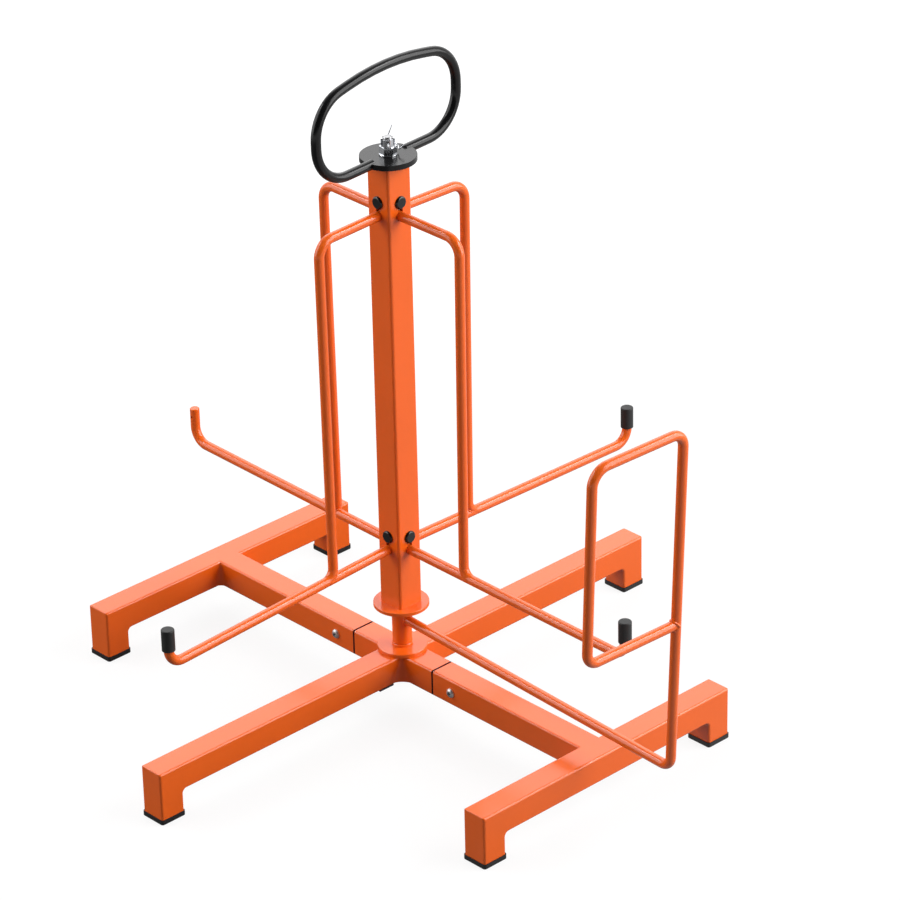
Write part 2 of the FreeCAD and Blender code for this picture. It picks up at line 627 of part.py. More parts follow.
def hub_flange():
    """Disc and boss on the middle of the base."""
    body = new_body("hub_flange")
    bore = "(journal_diameter / 2 + slip_fit)"
    disc = "hub_disc_diameter / 2"
    boss = "hub_boss_diameter / 2"
    disc_top = f"{BAR_TOP} + hub_disc_thickness"
    revolve(body, "hub_flange", [(bore, BAR_TOP), (disc, BAR_TOP), (disc, f"{disc_top} - edge_break"),
                                 (f"{disc} - edge_break", disc_top), (boss, disc_top),
                                 (boss, f"{HUB_TOP} - edge_break"), (f"{boss} - edge_break", HUB_TOP),
                                 (bore, HUB_TOP)])
    return body


def hub_pad():
    """Rubber pad under the middle bar."""
    body = new_body("hub_pad")
    outline = new_sketch(body, "hub_pad_outline", "XY_Plane")
    add_route(outline, [("-pad_width / 2", "-pad_length / 2", "edge_break"),
                        ("pad_width / 2", "-pad_length / 2", "edge_break"),
                        ("pad_width / 2", "pad_length / 2", "edge_break"),
                        ("-pad_width / 2", "pad_length / 2", "edge_break")], closed=True)
    extrude(body, "Pad", outline, "pad_thickness")
    place(body, "0", "-pad_offset", "bar_lift - pad_thickness")
    return body


# Spindle and the pieces on it

def pin_hole(body, name):
    """The cross hole for the split pin, along the piece's own X axis."""
    sketch = new_sketch(body, name, "YZ_Plane")
    add_circle(sketch, "pin_diameter + 2 * pin_hole_play", "0", PIN_HEIGHT)
    extrude(body, "Pocket", sketch, "2 * castle_nut_size", both_ways=True)


def spindle():
    """The stepped shaft that everything turns on, with a threaded end and a hole for the split pin."""
    body = new_body("spindle")
    journal = "journal_diameter / 2"
    shaft = "spindle_diameter / 2"
    thread = "thread_diameter / 2"
    thread_end = f"{SPINDLE_TOP} - 2 * edge_break"
    revolve(body, "spindle", [("0", "bar_lift"), (journal, "bar_lift"), (journal, SHOULDER),
                              (shaft, SHOULDER), (shaft, DISC_FOOT), (thread, DISC_FOOT),
                              (thread, thread_end), (f"{thread} - 2 * edge_break", SPINDLE_TOP),
                              ("0", SPINDLE_TOP)])
    pin_hole(body, "spindle_pin_hole")
    place(body, turn="pin_turn")
    return body


def plain_ring(label, outside, inside, foot, top):
    """A turned ring with broken outer edges. Outside and inside are radii."""
    body = new_body(label)
    break_radius = f"{outside} - edge_break / 2"
    revolve(body, label, [(inside, foot), (break_radius, foot), (outside, f"{foot} + edge_break / 2"),
                          (outside, f"{top} - edge_break / 2"), (break_radius, top), (inside, top)])
    return body


def handle_disc():
    """Round disc with two slots that take the ends of the handle's rod."""
    bore = "(thread_diameter / 2 + slip_fit)"
    body = plain_ring("handle_disc", "disc_diameter / 2", bore, DISC_FOOT, DISC_TOP)
    for side in (-1, 1):
        slot = new_sketch(body, f"handle_slot_{side + 1}", "XY_Plane", DISC_FOOT)
        half = "(rod_diameter / 2 + slip_fit)"
        near_end = f"{side} * (handle_seat_radius - slip_fit)"
        far_end = f"{side} * disc_diameter"
        corners = [(near_end, f"-{half}"), (far_end, f"-{half}"), (far_end, half), (near_end, half)]
        add_route(slot, corners if side > 0 else corners[::-1], closed=True)
        extrude(body, "Pocket", slot, "disc_thickness", reverse=True)
    place(body, turn="handle_turn")
    return body


def handle_loop():
    """Loop of round rod with an arched top, whose two ends are welded into the disc."""
    body = new_body("handle_loop")
    low = f"({DISC_FOOT} + disc_thickness / 2)"
    shoulder = f"({low} + handle_shoulder_rise)"
    peak = f"({low} + handle_peak_rise)"
    side = "handle_width / 2"
    route = new_sketch(body, "handle_route", "XZ_Plane")
    add_route(route, [("handle_seat_radius", low), (side, low, "handle_low_bend"),
                      (side, shoulder, "handle_shoulder_bend"), ("0", peak, "handle_arch_bend"),
                      (f"-{side}", shoulder, "handle_shoulder_bend"),
                      (f"-{side}", low, "handle_low_bend"), ("-handle_seat_radius", low)])
    section = new_sketch(body, "handle_section", "YZ_Plane", "handle_seat_radius")
    add_circle(section, "rod_diameter", "0", low)
    sweep(body, "handle_rod", section, route)
    place(body, turn="handle_turn")
    return body


def sweep(body, name, section, route):
    """Carry a section along a route."""
    doc.recompute()
    pipe = body.newObject("PartDesign::AdditivePipe", name)
    pipe.Profile = section
    pipe.Spine = (route, [f"Edge{index}" for index in range(1, len(route.Shape.Edges) + 1)])
    doc.recompute()


def castle_nut():
    """Castle nut: a chamfered hexagon below, a round crown with six slots above."""
    body = new_body("castle_nut")
    hexagon = new_sketch(body, "castle_hexagon", "XY_Plane", NUT_FOOT)
    add_hexagon(hexagon, "castle_nut_size")
    extrude(body, "Pad", hexagon, "castle_nut_hex_height")
    crown = new_sketch(body, "castle_crown", "XY_Plane", CROWN_FOOT)
    add_circle(crown, "castle_crown_diameter")
    extrude(body, "Pad", crown, "castle_crown_height")
    slot = new_sketch(body, "castle_slot", "YZ_Plane")
    half = "castle_slot_width / 2"
    floor = f"{NUT_TOP} - castle_slot_depth"
    roof = f"{NUT_TOP} + {CUT_PAST}"
    add_route(slot, [(f"-{half}", floor), (half, floor), (half, roof), (f"-{half}", roof)], closed=True)
    first_slot = extrude(body, "Pocket", slot, "2 * castle_nut_size", both_ways=True)
    slots = body.newObject("PartDesign::PolarPattern", "castle_slots")
    slots.Originals = [first_slot]
    slots.Axis = (next(axis for axis in body.Origin.OriginFeatures if axis.Role == "Z_Axis"), [""])
    slots.Angle = FULL_TURN
    slots.Occurrences = CASTLE_SLOTS
    body.Tip = slots
    doc.recompute()
    bore = new_sketch(body, "castle_bore", "XY_Plane", NUT_FOOT)
    add_circle(bore, "thread_diameter + 2 * slip_fit")
    depth = f"castle_nut_hex_height + castle_crown_height + {CUT_PAST}"
    extrude(body, "Pocket", bore, depth, reverse=True)
    place(body, turn="pin_turn")
    return body


def turned_about_axis(turn):
    """The placement of a piece that is only turned about the upright axis."""
    return FreeCAD.Placement(FreeCAD.Vector(), FreeCAD.Rotation(FreeCAD.Vector(0, 0, 1), value(turn)))


def rod_wire(points, radii):
    """A wire of straight runs and tangent arcs through points in space."""
    edges = []
    start = points[0]
    for before, corner, after, radius in zip(points, points[1:], points[2:], radii):
        towards = (before - corner).normalize()
        away = (after - corner).normalize()
        half_turn = towards.getAngle(away) / 2
        reach = radius / math.tan(half_turn)
        first = corner + towards * reach
        last = corner + away * reach
        inward = (towards + away).normalize()
        crest = corner + inward * (radius / math.sin(half_turn) - radius)
        edges.append(Part.LineSegment(start, first).toShape())
        edges.append(Part.Arc(first, crest, last).toShape())
        start = last
    edges.append(Part.LineSegment(start, points[-1]).toShape())
    return Part.Wire(edges)


def bent_rod(points, radii, diameter):
    """A round rod along such a wire."""
    wire = rod_wire(points, radii)
    direction = (points[1] - points[0]).normalize()
    circle = Part.Wire([Part.Circle(points[0], direction, diameter / 2).toShape()])
    return wire.makePipeShell([circle], True, False)


def split_pin():
    """Split pin: an eye, a straight shank through the nut, one leg bent up and one round the nut."""
    feature = doc.addObject("Part::Feature", "split_pin")
    wire_diameter = value("pin_diameter") / 2
    height = value(PIN_HEIGHT)
    exit_reach = value("castle_crown_diameter") / 2 + value("pin_diameter") / 2
    eye_radius = value("pin_eye_radius")
    bend = value("pin_bend")
    start = wire_diameter - exit_reach
    behind = -exit_reach - bend
    lower = height - value("pin_leg_offset")
    upper = height + value("pin_leg_offset")
    shank = Part.makeCylinder(wire_diameter, 2 * exit_reach, FreeCAD.Vector(-exit_reach, 0, height),
                              FreeCAD.Vector(1, 0, 0))
    eye = Part.makeTorus(eye_radius, wire_diameter / 2,
                         FreeCAD.Vector(exit_reach + eye_radius, 0, height), FreeCAD.Vector(0, 1, 0))
    up_leg = bent_rod([FreeCAD.Vector(start, 0, upper), FreeCAD.Vector(behind, 0, upper),
                       FreeCAD.Vector(behind, value("pin_leg_lean"), upper + value("pin_leg_rise"))],
                      [bend], wire_diameter)
    side = value("pin_leg_side")
    low = lower - value("pin_leg_drop")
    tail = FreeCAD.Vector(0, side + value("pin_tail"), low + value("pin_tail_rise"))
    side_leg = bent_rod([FreeCAD.Vector(start, 0, lower), FreeCAD.Vector(behind, 0, lower),
                         FreeCAD.Vector(behind, side, low), FreeCAD.Vector(0, side, low), tail],
                        [bend, bend, bend], wire_diameter)
    feature.Shape = shank.multiFuse([eye, up_leg, side_leg])
    feature.Placement = turned_about_axis("pin_turn")
    return feature


# Guide arm

def guide_sleeve():
    """The upright sleeve that the guide arm turns on."""
    return plain_ring("guide_sleeve", "sleeve_diameter / 2", "(journal_diameter / 2 + run_clearance)",
                      SLEEVE_FOOT, SLEEVE_TOP)


def guide_arm():
    """One rod that runs out from the sleeve, turns up, and closes a rectangular loop on itself."""
    feature = doc.addObject("Part::Feature", "guide_arm")
    diameter = value("rod_diameter")
    start_height = value(GUIDE_HEIGHT)
    corner_height = start_height - value("guide_drop")
    reach = value("guide_reach")
    top_height = corner_height + value("guide_rise")
    top_reach = reach + value("guide_lean")
    width = value("guide_loop_width")
    lean = value("guide_lean") / value("guide_rise")
    low_height = top_height - value("guide_loop_height")
    low_reach = top_reach - lean * value("guide_loop_height")
    rod = bent_rod([FreeCAD.Vector(0, 0, start_height), FreeCAD.Vector(reach, 0, corner_height),
                    FreeCAD.Vector(top_reach, 0, top_height), FreeCAD.Vector(top_reach, -width, top_height),
                    FreeCAD.Vector(low_reach, -width, low_height), FreeCAD.Vector(low_reach, 0, low_height)],
                   [value("guide_corner_bend"), value("guide_top_bend"), value("guide_inner_bend"),
                    value("guide_low_bend")], diameter)
    sleeve = Part.makeCylinder(value("sleeve_diameter") / 2, 2 * value("sleeve_length"),
                               FreeCAD.Vector(0, 0, value(SLEEVE_FOOT) - value("sleeve_length") / 2))
    feature.Shape = rod.cut(sleeve)
    feature.Placement = turned_about_axis("guide_turn")
    return feature


# Column

def add_slot(sketch, low, high):
    """The narrow part of a keyhole: a slot with a round bottom."""
    half = value(SLOT_WIDTH) / 2
    bottom = value(low)
    top = value(high)
    left_low = FreeCAD.Vector(-half, bottom, 0)
    left_high = FreeCAD.Vector(-half, top, 0)
    right_low = FreeCAD.Vector(half, bottom, 0)
    right_high = FreeCAD.Vector(half, top, 0)
    circle = Part.Circle(FreeCAD.Vector(0, bottom, 0), FreeCAD.Vector(0, 0, 1), half)
    left = sketch.addGeometry(Part.LineSegment(left_high, left_low), False)
    arc = sketch.addGeometry(Part.ArcOfCircle(circle, math.pi, 2 * math.pi), False)
    right = sketch.addGeometry(Part.LineSegment(right_low, right_high), False)
    lid = sketch.addGeometry(Part.LineSegment(right_high, left_high), False)
    sketch.addConstraint(Sketcher.Constraint("Tangent", left, 2, arc, 1))
    sketch.addConstraint(Sketcher.Constraint("Tangent", right, 1, arc, 2))
    sketch.addConstraint(Sketcher.Constraint("Coincident", right, 2, lid, 1))
    sketch.addConstraint(Sketcher.Constraint("Coincident", lid, 2, left, 1))
    sketch.addConstraint(Sketcher.Constraint("Vertical", left))
    sketch.addConstraint(Sketcher.Constraint("Horizontal", lid))
    pin_point(sketch, arc, 3, "0", low)
    constrain(sketch, "Diameter", arc, text=SLOT_WIDTH)
    constrain(sketch, "DistanceY", -1, 1, lid, 1, text=high)


def column_tube():
    """Square column with four upper and four lower keyhole sockets."""
    body = new_body("column_tube")
    outside = new_sketch(body, "column_outside", "XY_Plane", COLUMN_FOOT)
    add_rounded_square(outside, "column_width", "column_corner")
    extrude(body, "Pad", outside, "column_length")
    inside = new_sketch(body, "column_inside", "XY_Plane", COLUMN_FOOT)
    add_rounded_square(inside, COLUMN_INSIDE, "column_corner - column_wall")
    extrude(body, "Pocket", inside, "column_length", reverse=True)
    for role in ("XZ_Plane", "YZ_Plane"):
        entries = new_sketch(body, f"entries_{role}", role)
        slots = new_sketch(body, f"slots_{role}", role)
        for socket in (LOWER_SOCKET, UPPER_SOCKET):
            add_circle(entries, "entry_hole", "0", f"{socket} + entry_rise")
            add_slot(slots, socket, f"{socket} + entry_rise")
        extrude(body, "Pocket", entries, "2 * column_width", both_ways=True)
        extrude(body, "Pocket", slots, "2 * column_width", both_ways=True)
    return body


def column_flange():
    """Round flange under the column, bored for the lower bush's spigot."""
    return plain_ring("column_flange", "flange_diameter / 2", "(spigot_diameter / 2 + slip_fit)",
                      FLANGE_FOOT, COLUMN_FOOT)


def column_bush(label, foot, top):
    """Square plug in the column's end, with a running bore for the spindle."""
    body = new_body(label)
    outside = new_sketch(body, f"{label}_outside", "XY_Plane", foot)
    add_rounded_square(outside, f"({COLUMN_INSIDE} - 2 * bush_fit)", "column_corner")
    extrude(body, "Pad", outside, f"{top} - {foot}")
    return body


def bush_bore(body, foot, top):
    """The running bore through a bush."""
    sketch = new_sketch(body, f"{body.Name}_bore", "XY_Plane", foot)
    add_circle(sketch, "spindle_diameter + 2 * run_clearance")
    extrude(body, "Pocket", sketch, f"{top} - {foot}", reverse=True)


def lower_bush():
    """Bush at the column's foot, with a round spigot that centres the flange."""
    top = f"({COLUMN_FOOT} + bush_length)"
    body = column_bush("lower_bush", COLUMN_FOOT, top)
    spigot = new_sketch(body, "lower_bush_spigot", "XY_Plane", FLANGE_FOOT)
    add_circle(spigot, "spigot_diameter")
    extrude(body, "Pad", spigot, "flange_thickness + bush_length / 2")
    bush_bore(body, FLANGE_FOOT, top)
    return body


def upper_bush():
    """Bush in the column's top."""
    foot = f"({COLUMN_TOP} - bush_length)"
    body = column_bush("upper_bush", foot, COLUMN_TOP)
    bush_bore(body, foot, COLUMN_TOP)
    return body


def socket_plug(label, socket, turn):
    """Domed plug in a socket's entry hole. Modelled upright, then laid along the arm's direction."""
    body = new_body(label)
    shank = "(entry_hole / 2 - slip_fit)"
    head = "plug_diameter / 2"
    revolve(body, label, [("0", "-plug_depth"), (f"{shank} - edge_break", "-plug_depth"),
                          (shank, "-plug_depth + edge_break"), (shank, "0"), (head, "0"),
                          (head, "plug_height", "plug_height - plug_rim"), ("0", "plug_height")])
    turned = FreeCAD.Rotation(FreeCAD.Vector(0, 0, 1), turn)
    laid = FreeCAD.Rotation(FreeCAD.Vector(0, 1, 0), QUARTER_TURN)
    body.Placement = FreeCAD.Placement(FreeCAD.Vector(), turned.multiply(laid))
    bind(body, "Placement.Base.x", f"column_width / 2 * cos({turn})")
    bind(body, "Placement.Base.y", f"column_width / 2 * sin({turn})")
    bind(body, "Placement.Base.z", f"{socket} + entry_rise")
    return body


# Spool arms

def spool_arm(label):
    """Bent-rod arm along +X: top run, upright, outer run with a turned-up tip, strut and two headed studs."""
    body = new_body(label)
    route = new_sketch(body, f"{label}_route", "XZ_Plane")
    add_route(route, [(ARM_START, UPPER_SOCKET), ("arm_upright_top", UPPER_SOCKET, "arm_top_bend"),
                      ("arm_upright_foot", LOWER_SOCKET, "arm_foot_bend"),
                      ("arm_reach", LOWER_SOCKET, "arm_tip_bend"), ("arm_reach", ARM_TIP)])
    section = new_sketch(body, f"{label}_section", "YZ_Plane", ARM_START)
    add_circle(section, "rod_diameter", "0", UPPER_SOCKET)
    sweep(body, f"{label}_rod", section, route)
    strut = new_sketch(body, f"{label}_strut", "YZ_Plane", ARM_START)
    add_circle(strut, "rod_diameter", "0", LOWER_SOCKET)
    extrude(body, "Pad", strut, f"arm_upright_foot + arm_foot_bend - arm_strut_end - {ARM_START}")
    stud_foot = f"({STUD_FACE} - stud_head_thickness)"
    for name, diameter, length in (("neck", "stud_neck", f"{ARM_START} - {stud_foot} + stud_root"),
                                   ("head", "stud_head", "stud_head_thickness")):
        stud = new_sketch(body, f"{label}_{name}", "YZ_Plane", stud_foot)
        add_circle(stud, diameter, "0", LOWER_SOCKET)
        add_circle(stud, diameter, "0", UPPER_SOCKET)
        extrude(body, "Pad", stud, length)
    hole = new_sketch(body, f"{label}_tip_hole", "XZ_Plane")
    add_circle(hole, "tip_hole", "arm_reach", f"{ARM_TIP} - tip_hole_drop")
    extrude(body, "Pocket", hole, "2 * rod_diameter", both_ways=True)
    tip = value(ARM_TIP)
    dress(body, "Chamfer", f"{label}_tip_edge", "tip_chamfer", lambda point: near(point.z, tip))
    return body


def tip_cap(label):
    """Push-on cap over an arm's tip, along +X."""
    body = new_body(label)
    top = f"({ARM_TIP} + tip_cap_top)"
    foot = f"({top} - tip_cap_length)"
    bore = "(rod_diameter / 2 + tip_cap_fit)"
    outside = "tip_cap_diameter / 2"
    revolve(body, label, [("0", f"{ARM_TIP} + tip_cap_fit"), (bore, f"{ARM_TIP} + tip_cap_fit"), (bore, foot),
                          (outside, foot), (outside, top, "tip_cap_edge"), ("0", top)])
    return body


def turn_about_socket(item, reach, turn, play):
    """Place a piece of an arm at its reach, with the arm turned about its studs in the column's wall."""
    pivot = "(column_width / 2 - column_wall / 2)"
    place(item, f"{pivot} * cos({turn}) + ({reach} - {pivot}) * cos({turn} + {play})",
          f"{pivot} * sin({turn}) + ({reach} - {pivot}) * sin({turn} + {play})", "0", f"{turn} + {play}")


def export(nodes):
    """Check every object and every node's shape, then write the nodes."""
    doc.recompute()
    for item in doc.Objects:
        if {"Invalid", "Error"} & set(item.State):
            raise RuntimeError(f"{item.Label} is {item.State}")
    for node in nodes:
        if node.Shape.isNull() or not node.Shape.isValid() or not node.Shape.Solids:
            raise RuntimeError(f"{node.Label} has no valid solid")
    os.makedirs("parts", exist_ok=True)
    for node in nodes:
        node.Shape.exportStep(f"parts/{node.Label}.step")


def build():
    """Build every node of the rack."""
    mid_foot = "(mid_bar_length - bar_width) / 2"
    leg_foot = "(leg_bar_length - bar_width) / 2"
    nodes = [hub_frame(), leg("leg_right", "0"), leg("leg_left", "180"),
             insert_tube("insert_tube_right", "0"), insert_tube("insert_tube_left", "180")]
    for name, across in (("mid", "0"), ("right", "leg_offset"), ("left", "-leg_offset")):
        reach = mid_foot if name == "mid" else leg_foot
        nodes.append(foot_cap(f"foot_cap_{name}_front", across, f"-{reach}"))
        nodes.append(foot_cap(f"foot_cap_{name}_rear", across, reach))
    fasteners = (("leg_screws", leg_screw), ("leg_washers", screw_washer), ("leg_nuts", screw_nut))
    for label, maker in fasteners:
        pair = [maker(f"{label}_right", "screw_offset"), maker(f"{label}_left", "-screw_offset")]
        nodes.append(group(label, pair))
    nodes += [hub_flange(), hub_pad(), spindle(), guide_sleeve(), guide_arm(),
              plain_ring("thrust_washer", "thrust_washer_diameter / 2", "(spindle_diameter / 2 + slip_fit)",
                         SHOULDER, WASHER_TOP),
              column_flange(), column_tube(), lower_bush(), upper_bush()]
    arms = (("front", "-90"), ("right", "0"), ("rear", "90"), ("left", "180"))
    for name, turn in arms:
        arm = spool_arm(f"spool_arm_{name}")
        play = f"{name}_arm_turn"
        turn_about_socket(arm, "0", turn, play)
        nodes.append(arm)
        if name != "left":
            cap = tip_cap(f"tip_cap_{name}")
            turn_about_socket(cap, "arm_reach", turn, play)
            nodes.append(cap)
    for level, socket in (("lower", LOWER_SOCKET), ("upper", UPPER_SOCKET)):
        plugs = [socket_plug(f"socket_plug_{level}_{name}", socket, float(turn)) for name, turn in arms]
        nodes.append(group(f"socket_plugs_{level}", plugs))
    nodes += [handle_disc(), handle_loop(),
              plain_ring("top_washer", "top_washer_diameter / 2", "(thread_diameter / 2 + slip_fit)",
                         DISC_TOP, NUT_FOOT),
              castle_nut(), split_pin()]
    export(nodes)
    return nodes


build()
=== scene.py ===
"""Wire spool rack: the looks of every piece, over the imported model."""

import logging
import math
from dataclasses import dataclass, field
from enum import Enum
from typing import Sequence

import bpy
import numpy as np
from mathutils import Matrix, Vector

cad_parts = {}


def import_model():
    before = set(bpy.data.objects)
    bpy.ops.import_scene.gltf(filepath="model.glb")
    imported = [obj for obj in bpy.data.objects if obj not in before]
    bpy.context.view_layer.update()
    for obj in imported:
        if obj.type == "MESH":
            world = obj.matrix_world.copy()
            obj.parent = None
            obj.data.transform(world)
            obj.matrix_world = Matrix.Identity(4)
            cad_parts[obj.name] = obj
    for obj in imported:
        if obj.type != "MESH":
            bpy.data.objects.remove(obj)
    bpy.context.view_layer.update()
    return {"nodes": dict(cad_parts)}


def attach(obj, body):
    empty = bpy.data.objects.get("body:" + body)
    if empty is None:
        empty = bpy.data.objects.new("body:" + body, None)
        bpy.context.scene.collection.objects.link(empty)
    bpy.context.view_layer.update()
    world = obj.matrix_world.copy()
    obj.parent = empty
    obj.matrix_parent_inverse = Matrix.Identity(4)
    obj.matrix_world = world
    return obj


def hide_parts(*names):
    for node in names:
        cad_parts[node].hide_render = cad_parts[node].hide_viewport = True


LOG = logging.getLogger("wire_spool_rack")
MM = 0.001
UP = (0.0, 0.0, 1.0)
# Every rod is 10 mm steel, and its thick paint makes it 10.6 mm
PAINTED_ROD_RADIUS = 5.3
SIDES_ROUND_A_ROD = 40
STATIONS_PER_TURN = 56
FEWEST_STEPS_IN_A_BEND = 6
SIDES_ROUND_A_BEAD = 14
POINTS_ROUND_A_WELD = 72
POINTS_OVER_A_WELD = 61
# A bead's ripples stand a tenth proud, and an open bead's ends keep a little width
RIPPLE_HEIGHT = 0.1
LEAST_TAPER = 0.03
SMOOTH_BELOW = math.radians(32.0)
FULL_TURN = 2.0 * math.pi
Point = tuple[float, float, float]
# A colour as a screen gives it, each part from 0 to 255
Shade = tuple[int, int, int]
Light = tuple[float, float, float, float]
WHITE: Light = (1.0, 1.0, 1.0, 1.0)


# Shapes as arrays


def angles_round(count: int) -> np.ndarray:
    """Returns evenly spaced angles round a full turn, in radians."""
    return np.linspace(0.0, FULL_TURN, count, endpoint=False)


def unit(vector: np.ndarray) -> np.ndarray:
    """Returns the vector at a length of one."""
    return vector / np.linalg.norm(vector)


@dataclass
class Shell:
    """A skin of points and faces, in millimetres."""

    points: np.ndarray
    faces: list[list[int]] = field(default_factory=list)

    def turned(self, degrees: float, pivot: Point = (0.0, 0.0, 0.0)) -> "Shell":
        """Turns the skin about an upright line.

        Args:
            degrees: The turn, counted anticlockwise from above.
            pivot: A point on the line, in millimetres.

        Returns:
            The turned skin.
        """
        angle = math.radians(degrees)
        turn = np.array([
            [math.cos(angle), -math.sin(angle), 0.0],
            [math.sin(angle), math.cos(angle), 0.0],
            [0.0, 0.0, 1.0],
        ])
        centre = np.array(pivot)
        return Shell((self.points - centre) @ turn.T + centre, self.faces)


def joined(*shells: Shell) -> Shell:
    """Puts several skins into one.

    Args:
        shells: The skins, each closed by itself.

    Returns:
        One skin that holds them all.
    """
    faces: list[list[int]] = []
    first = 0
    for shell in shells:
        faces += [[corner + first for corner in face] for face in shell.faces]
        first += len(shell.points)
    return Shell(np.concatenate([shell.points for shell in shells]), faces)


def woven(grid: np.ndarray, closed_along: bool = False) -> Shell:
    """Makes a skin of a grid of points whose columns run round.

    The face at row i and column j joins the points (i, j), (i, j+1),
    (i+1, j+1) and (i+1, j), and the last column joins the first. The first
    and last rows are closed by one flat face each, unless the rows run round
    as well.

    Args:
        grid: Points, as rows by columns by three.
        closed_along: Whether the last row joins the first.

    Returns:
        A closed skin.
    """
    rows, columns = grid.shape[:2]
    index = np.arange(rows * columns).reshape(rows, columns)
    beside = np.roll(index, -1, axis=1)
    if closed_along:
        lower, upper = index, np.roll(index, -1, axis=0)
        lower_beside, upper_beside = beside, np.roll(beside, -1, axis=0)
    else:
        lower, upper = index[:-1], index[1:]
        lower_beside, upper_beside = beside[:-1], beside[1:]
    quads = np.stack([lower, lower_beside, upper_beside, upper], axis=-1).reshape(-1, 4)
    faces = quads.tolist()
    if not closed_along:
        faces.append(index[0][::-1].tolist())
        faces.append(index[-1].tolist())
    return Shell(grid.reshape(-1, 3), faces)


@dataclass
class Route:
    """A path of straight runs with rounded corners, in millimetres."""

    corners: Sequence[Point]
    bends: Sequence[float]

    def stations(self) -> tuple[np.ndarray, np.ndarray, np.ndarray]:
        """Walks the path and carries a pair of square-on directions with it.

        At a corner the path is an arc of the bend's radius that touches both
        runs, and the directions turn about the arc's own axis by the same
        angle, so they never twist. The first run isn't upright.

        Returns:
            The centres and the two directions, each an array of rows by three.
        """
        knots = np.array(self.corners, dtype=float)
        runs = np.diff(knots, axis=0)
        ways = runs / np.linalg.norm(runs, axis=1, keepdims=True)
        aside = unit(np.cross(ways[0], UP))
        centres = [knots[:1]]
        first_sides = [aside[None]]
        for number, radius in enumerate(self.bends):
            before, after = ways[number], ways[number + 1]
            axis = np.cross(before, after)
            angle = math.atan2(np.linalg.norm(axis), float(before @ after))
            axis = unit(axis)
            reach = radius * math.tan(angle / 2.0)
            start = knots[number + 1] - before * reach
            middle = start + np.cross(axis, before) * radius
            count = max(FEWEST_STEPS_IN_A_BEND, round(STATIONS_PER_TURN * angle / FULL_TURN))
            turns = np.linspace(0.0, angle, count + 1)
            centres.append(middle + rotated(start - middle, axis, turns))
            first_sides.append(rotated(aside, axis, turns))
            aside = first_sides[-1][-1]
        centres.append(knots[-1:])
        first_sides.append(aside[None])
        middles = np.concatenate(centres)
        across = np.concatenate(first_sides)
        forward = np.gradient(middles, axis=0)
        second_sides = np.cross(forward, across)
        second_sides /= np.linalg.norm(second_sides, axis=1, keepdims=True)
        return middles, across, second_sides


def rotated(arm: np.ndarray, axis: np.ndarray, turns: np.ndarray) -> np.ndarray:
    """Turns one vector about an axis by many angles.

    The turned vector is the part along the axis, plus the rest times the
    angle's cosine, plus the axis crossed with it times the angle's sine.

    Args:
        arm: The vector.
        axis: A unit vector.
        turns: The angles, in radians.

    Returns:
        One row for each angle.
    """
    along = axis * float(axis @ arm)
    rest = arm - along
    cosines = np.cos(turns)[:, None]
    sines = np.sin(turns)[:, None]
    return along + rest * cosines + np.cross(axis, arm) * sines


def rod(route: Route, radius: float) -> Shell:
    """Carries a circle along a path.

    Args:
        route: The path of the rod's middle.
        radius: The rod's radius.

    Returns:
        A closed rod.
    """
    middles, across, upward = route.stations()
    radii = np.full(len(middles), radius)
    return woven(circles(middles, across, upward, radii, SIDES_ROUND_A_ROD))


def circles(middles: np.ndarray, across: np.ndarray, upward: np.ndarray,
            radii: np.ndarray, sides: int) -> np.ndarray:
    """Puts a circle at each station.

    A point is the station's middle, plus its radius times the cosine of the
    angle round along one direction and the sine along the other.

    Args:
        middles: The circles' middles.
        across: The first direction of each circle.
        upward: The second direction of each circle.
        radii: The circles' radii.
        sides: The number of points round a circle.

    Returns:
        A grid with one row for each circle.
    """
    wave = np.cos(angles_round(sides))[None, :, None]
    swell = np.sin(angles_round(sides))[None, :, None]
    spread = radii[:, None, None]
    return middles[:, None] + spread * (wave * across[:, None] + swell * upward[:, None])


def turned_profile(profile: Sequence[tuple[float, float]], middle: Point,
                   way: Point) -> Shell:
    """Spins a profile about a line.

    A point is the line's start, plus the profile's distance along the line,
    plus its radius in a direction square to the line.

    Args:
        profile: Pairs of distance along the line and radius.
        middle: The line's start.
        way: The line's direction, which isn't upright.

    Returns:
        A closed skin.
    """
    table = np.array(profile, dtype=float)
    line = unit(np.array(way, dtype=float))
    across = unit(np.cross(line, UP))
    upward = np.cross(line, across)
    middles = np.array(middle, dtype=float) + table[:, :1] * line
    count = len(table)
    return woven(circles(middles, np.tile(across, (count, 1)), np.tile(upward, (count, 1)),
                         table[:, 1], SIDES_ROUND_A_ROD))


def bead(line: np.ndarray, outward: np.ndarray, radius: float, ripples: float,
         closed: bool) -> Shell:
    """Lays a welded bead along a line.

    The bead is a small circle carried along the line. Its radius swells by a
    tenth and sinks again, once for each ripple, and its ends taper when the
    line is open.

    Args:
        line: Points along the seam.
        outward: The direction out of the seam at each point.
        radius: The bead's radius.
        ripples: The number of ripples along the line.
        closed: Whether the line's last point joins its first.

    Returns:
        A closed skin.
    """
    if closed:
        forward = np.roll(line, -1, axis=0) - np.roll(line, 1, axis=0)
    else:
        forward = np.gradient(line, axis=0)
    forward = forward / np.linalg.norm(forward, axis=1, keepdims=True)
    across = outward - forward * np.sum(outward * forward, axis=1, keepdims=True)
    across = across / np.linalg.norm(across, axis=1, keepdims=True)
    upward = np.cross(forward, across)
    share = np.linspace(0.0, 1.0, len(line), endpoint=not closed)
    swell = 1.0 + RIPPLE_HEIGHT * np.cos(FULL_TURN * ripples * share)
    if not closed:
        swell = swell * np.sqrt(np.clip(np.sin(math.pi * share), LEAST_TAPER, 1.0))
    grid = circles(line, across, upward, radius * swell, SIDES_ROUND_A_BEAD)
    return woven(grid, closed_along=closed)


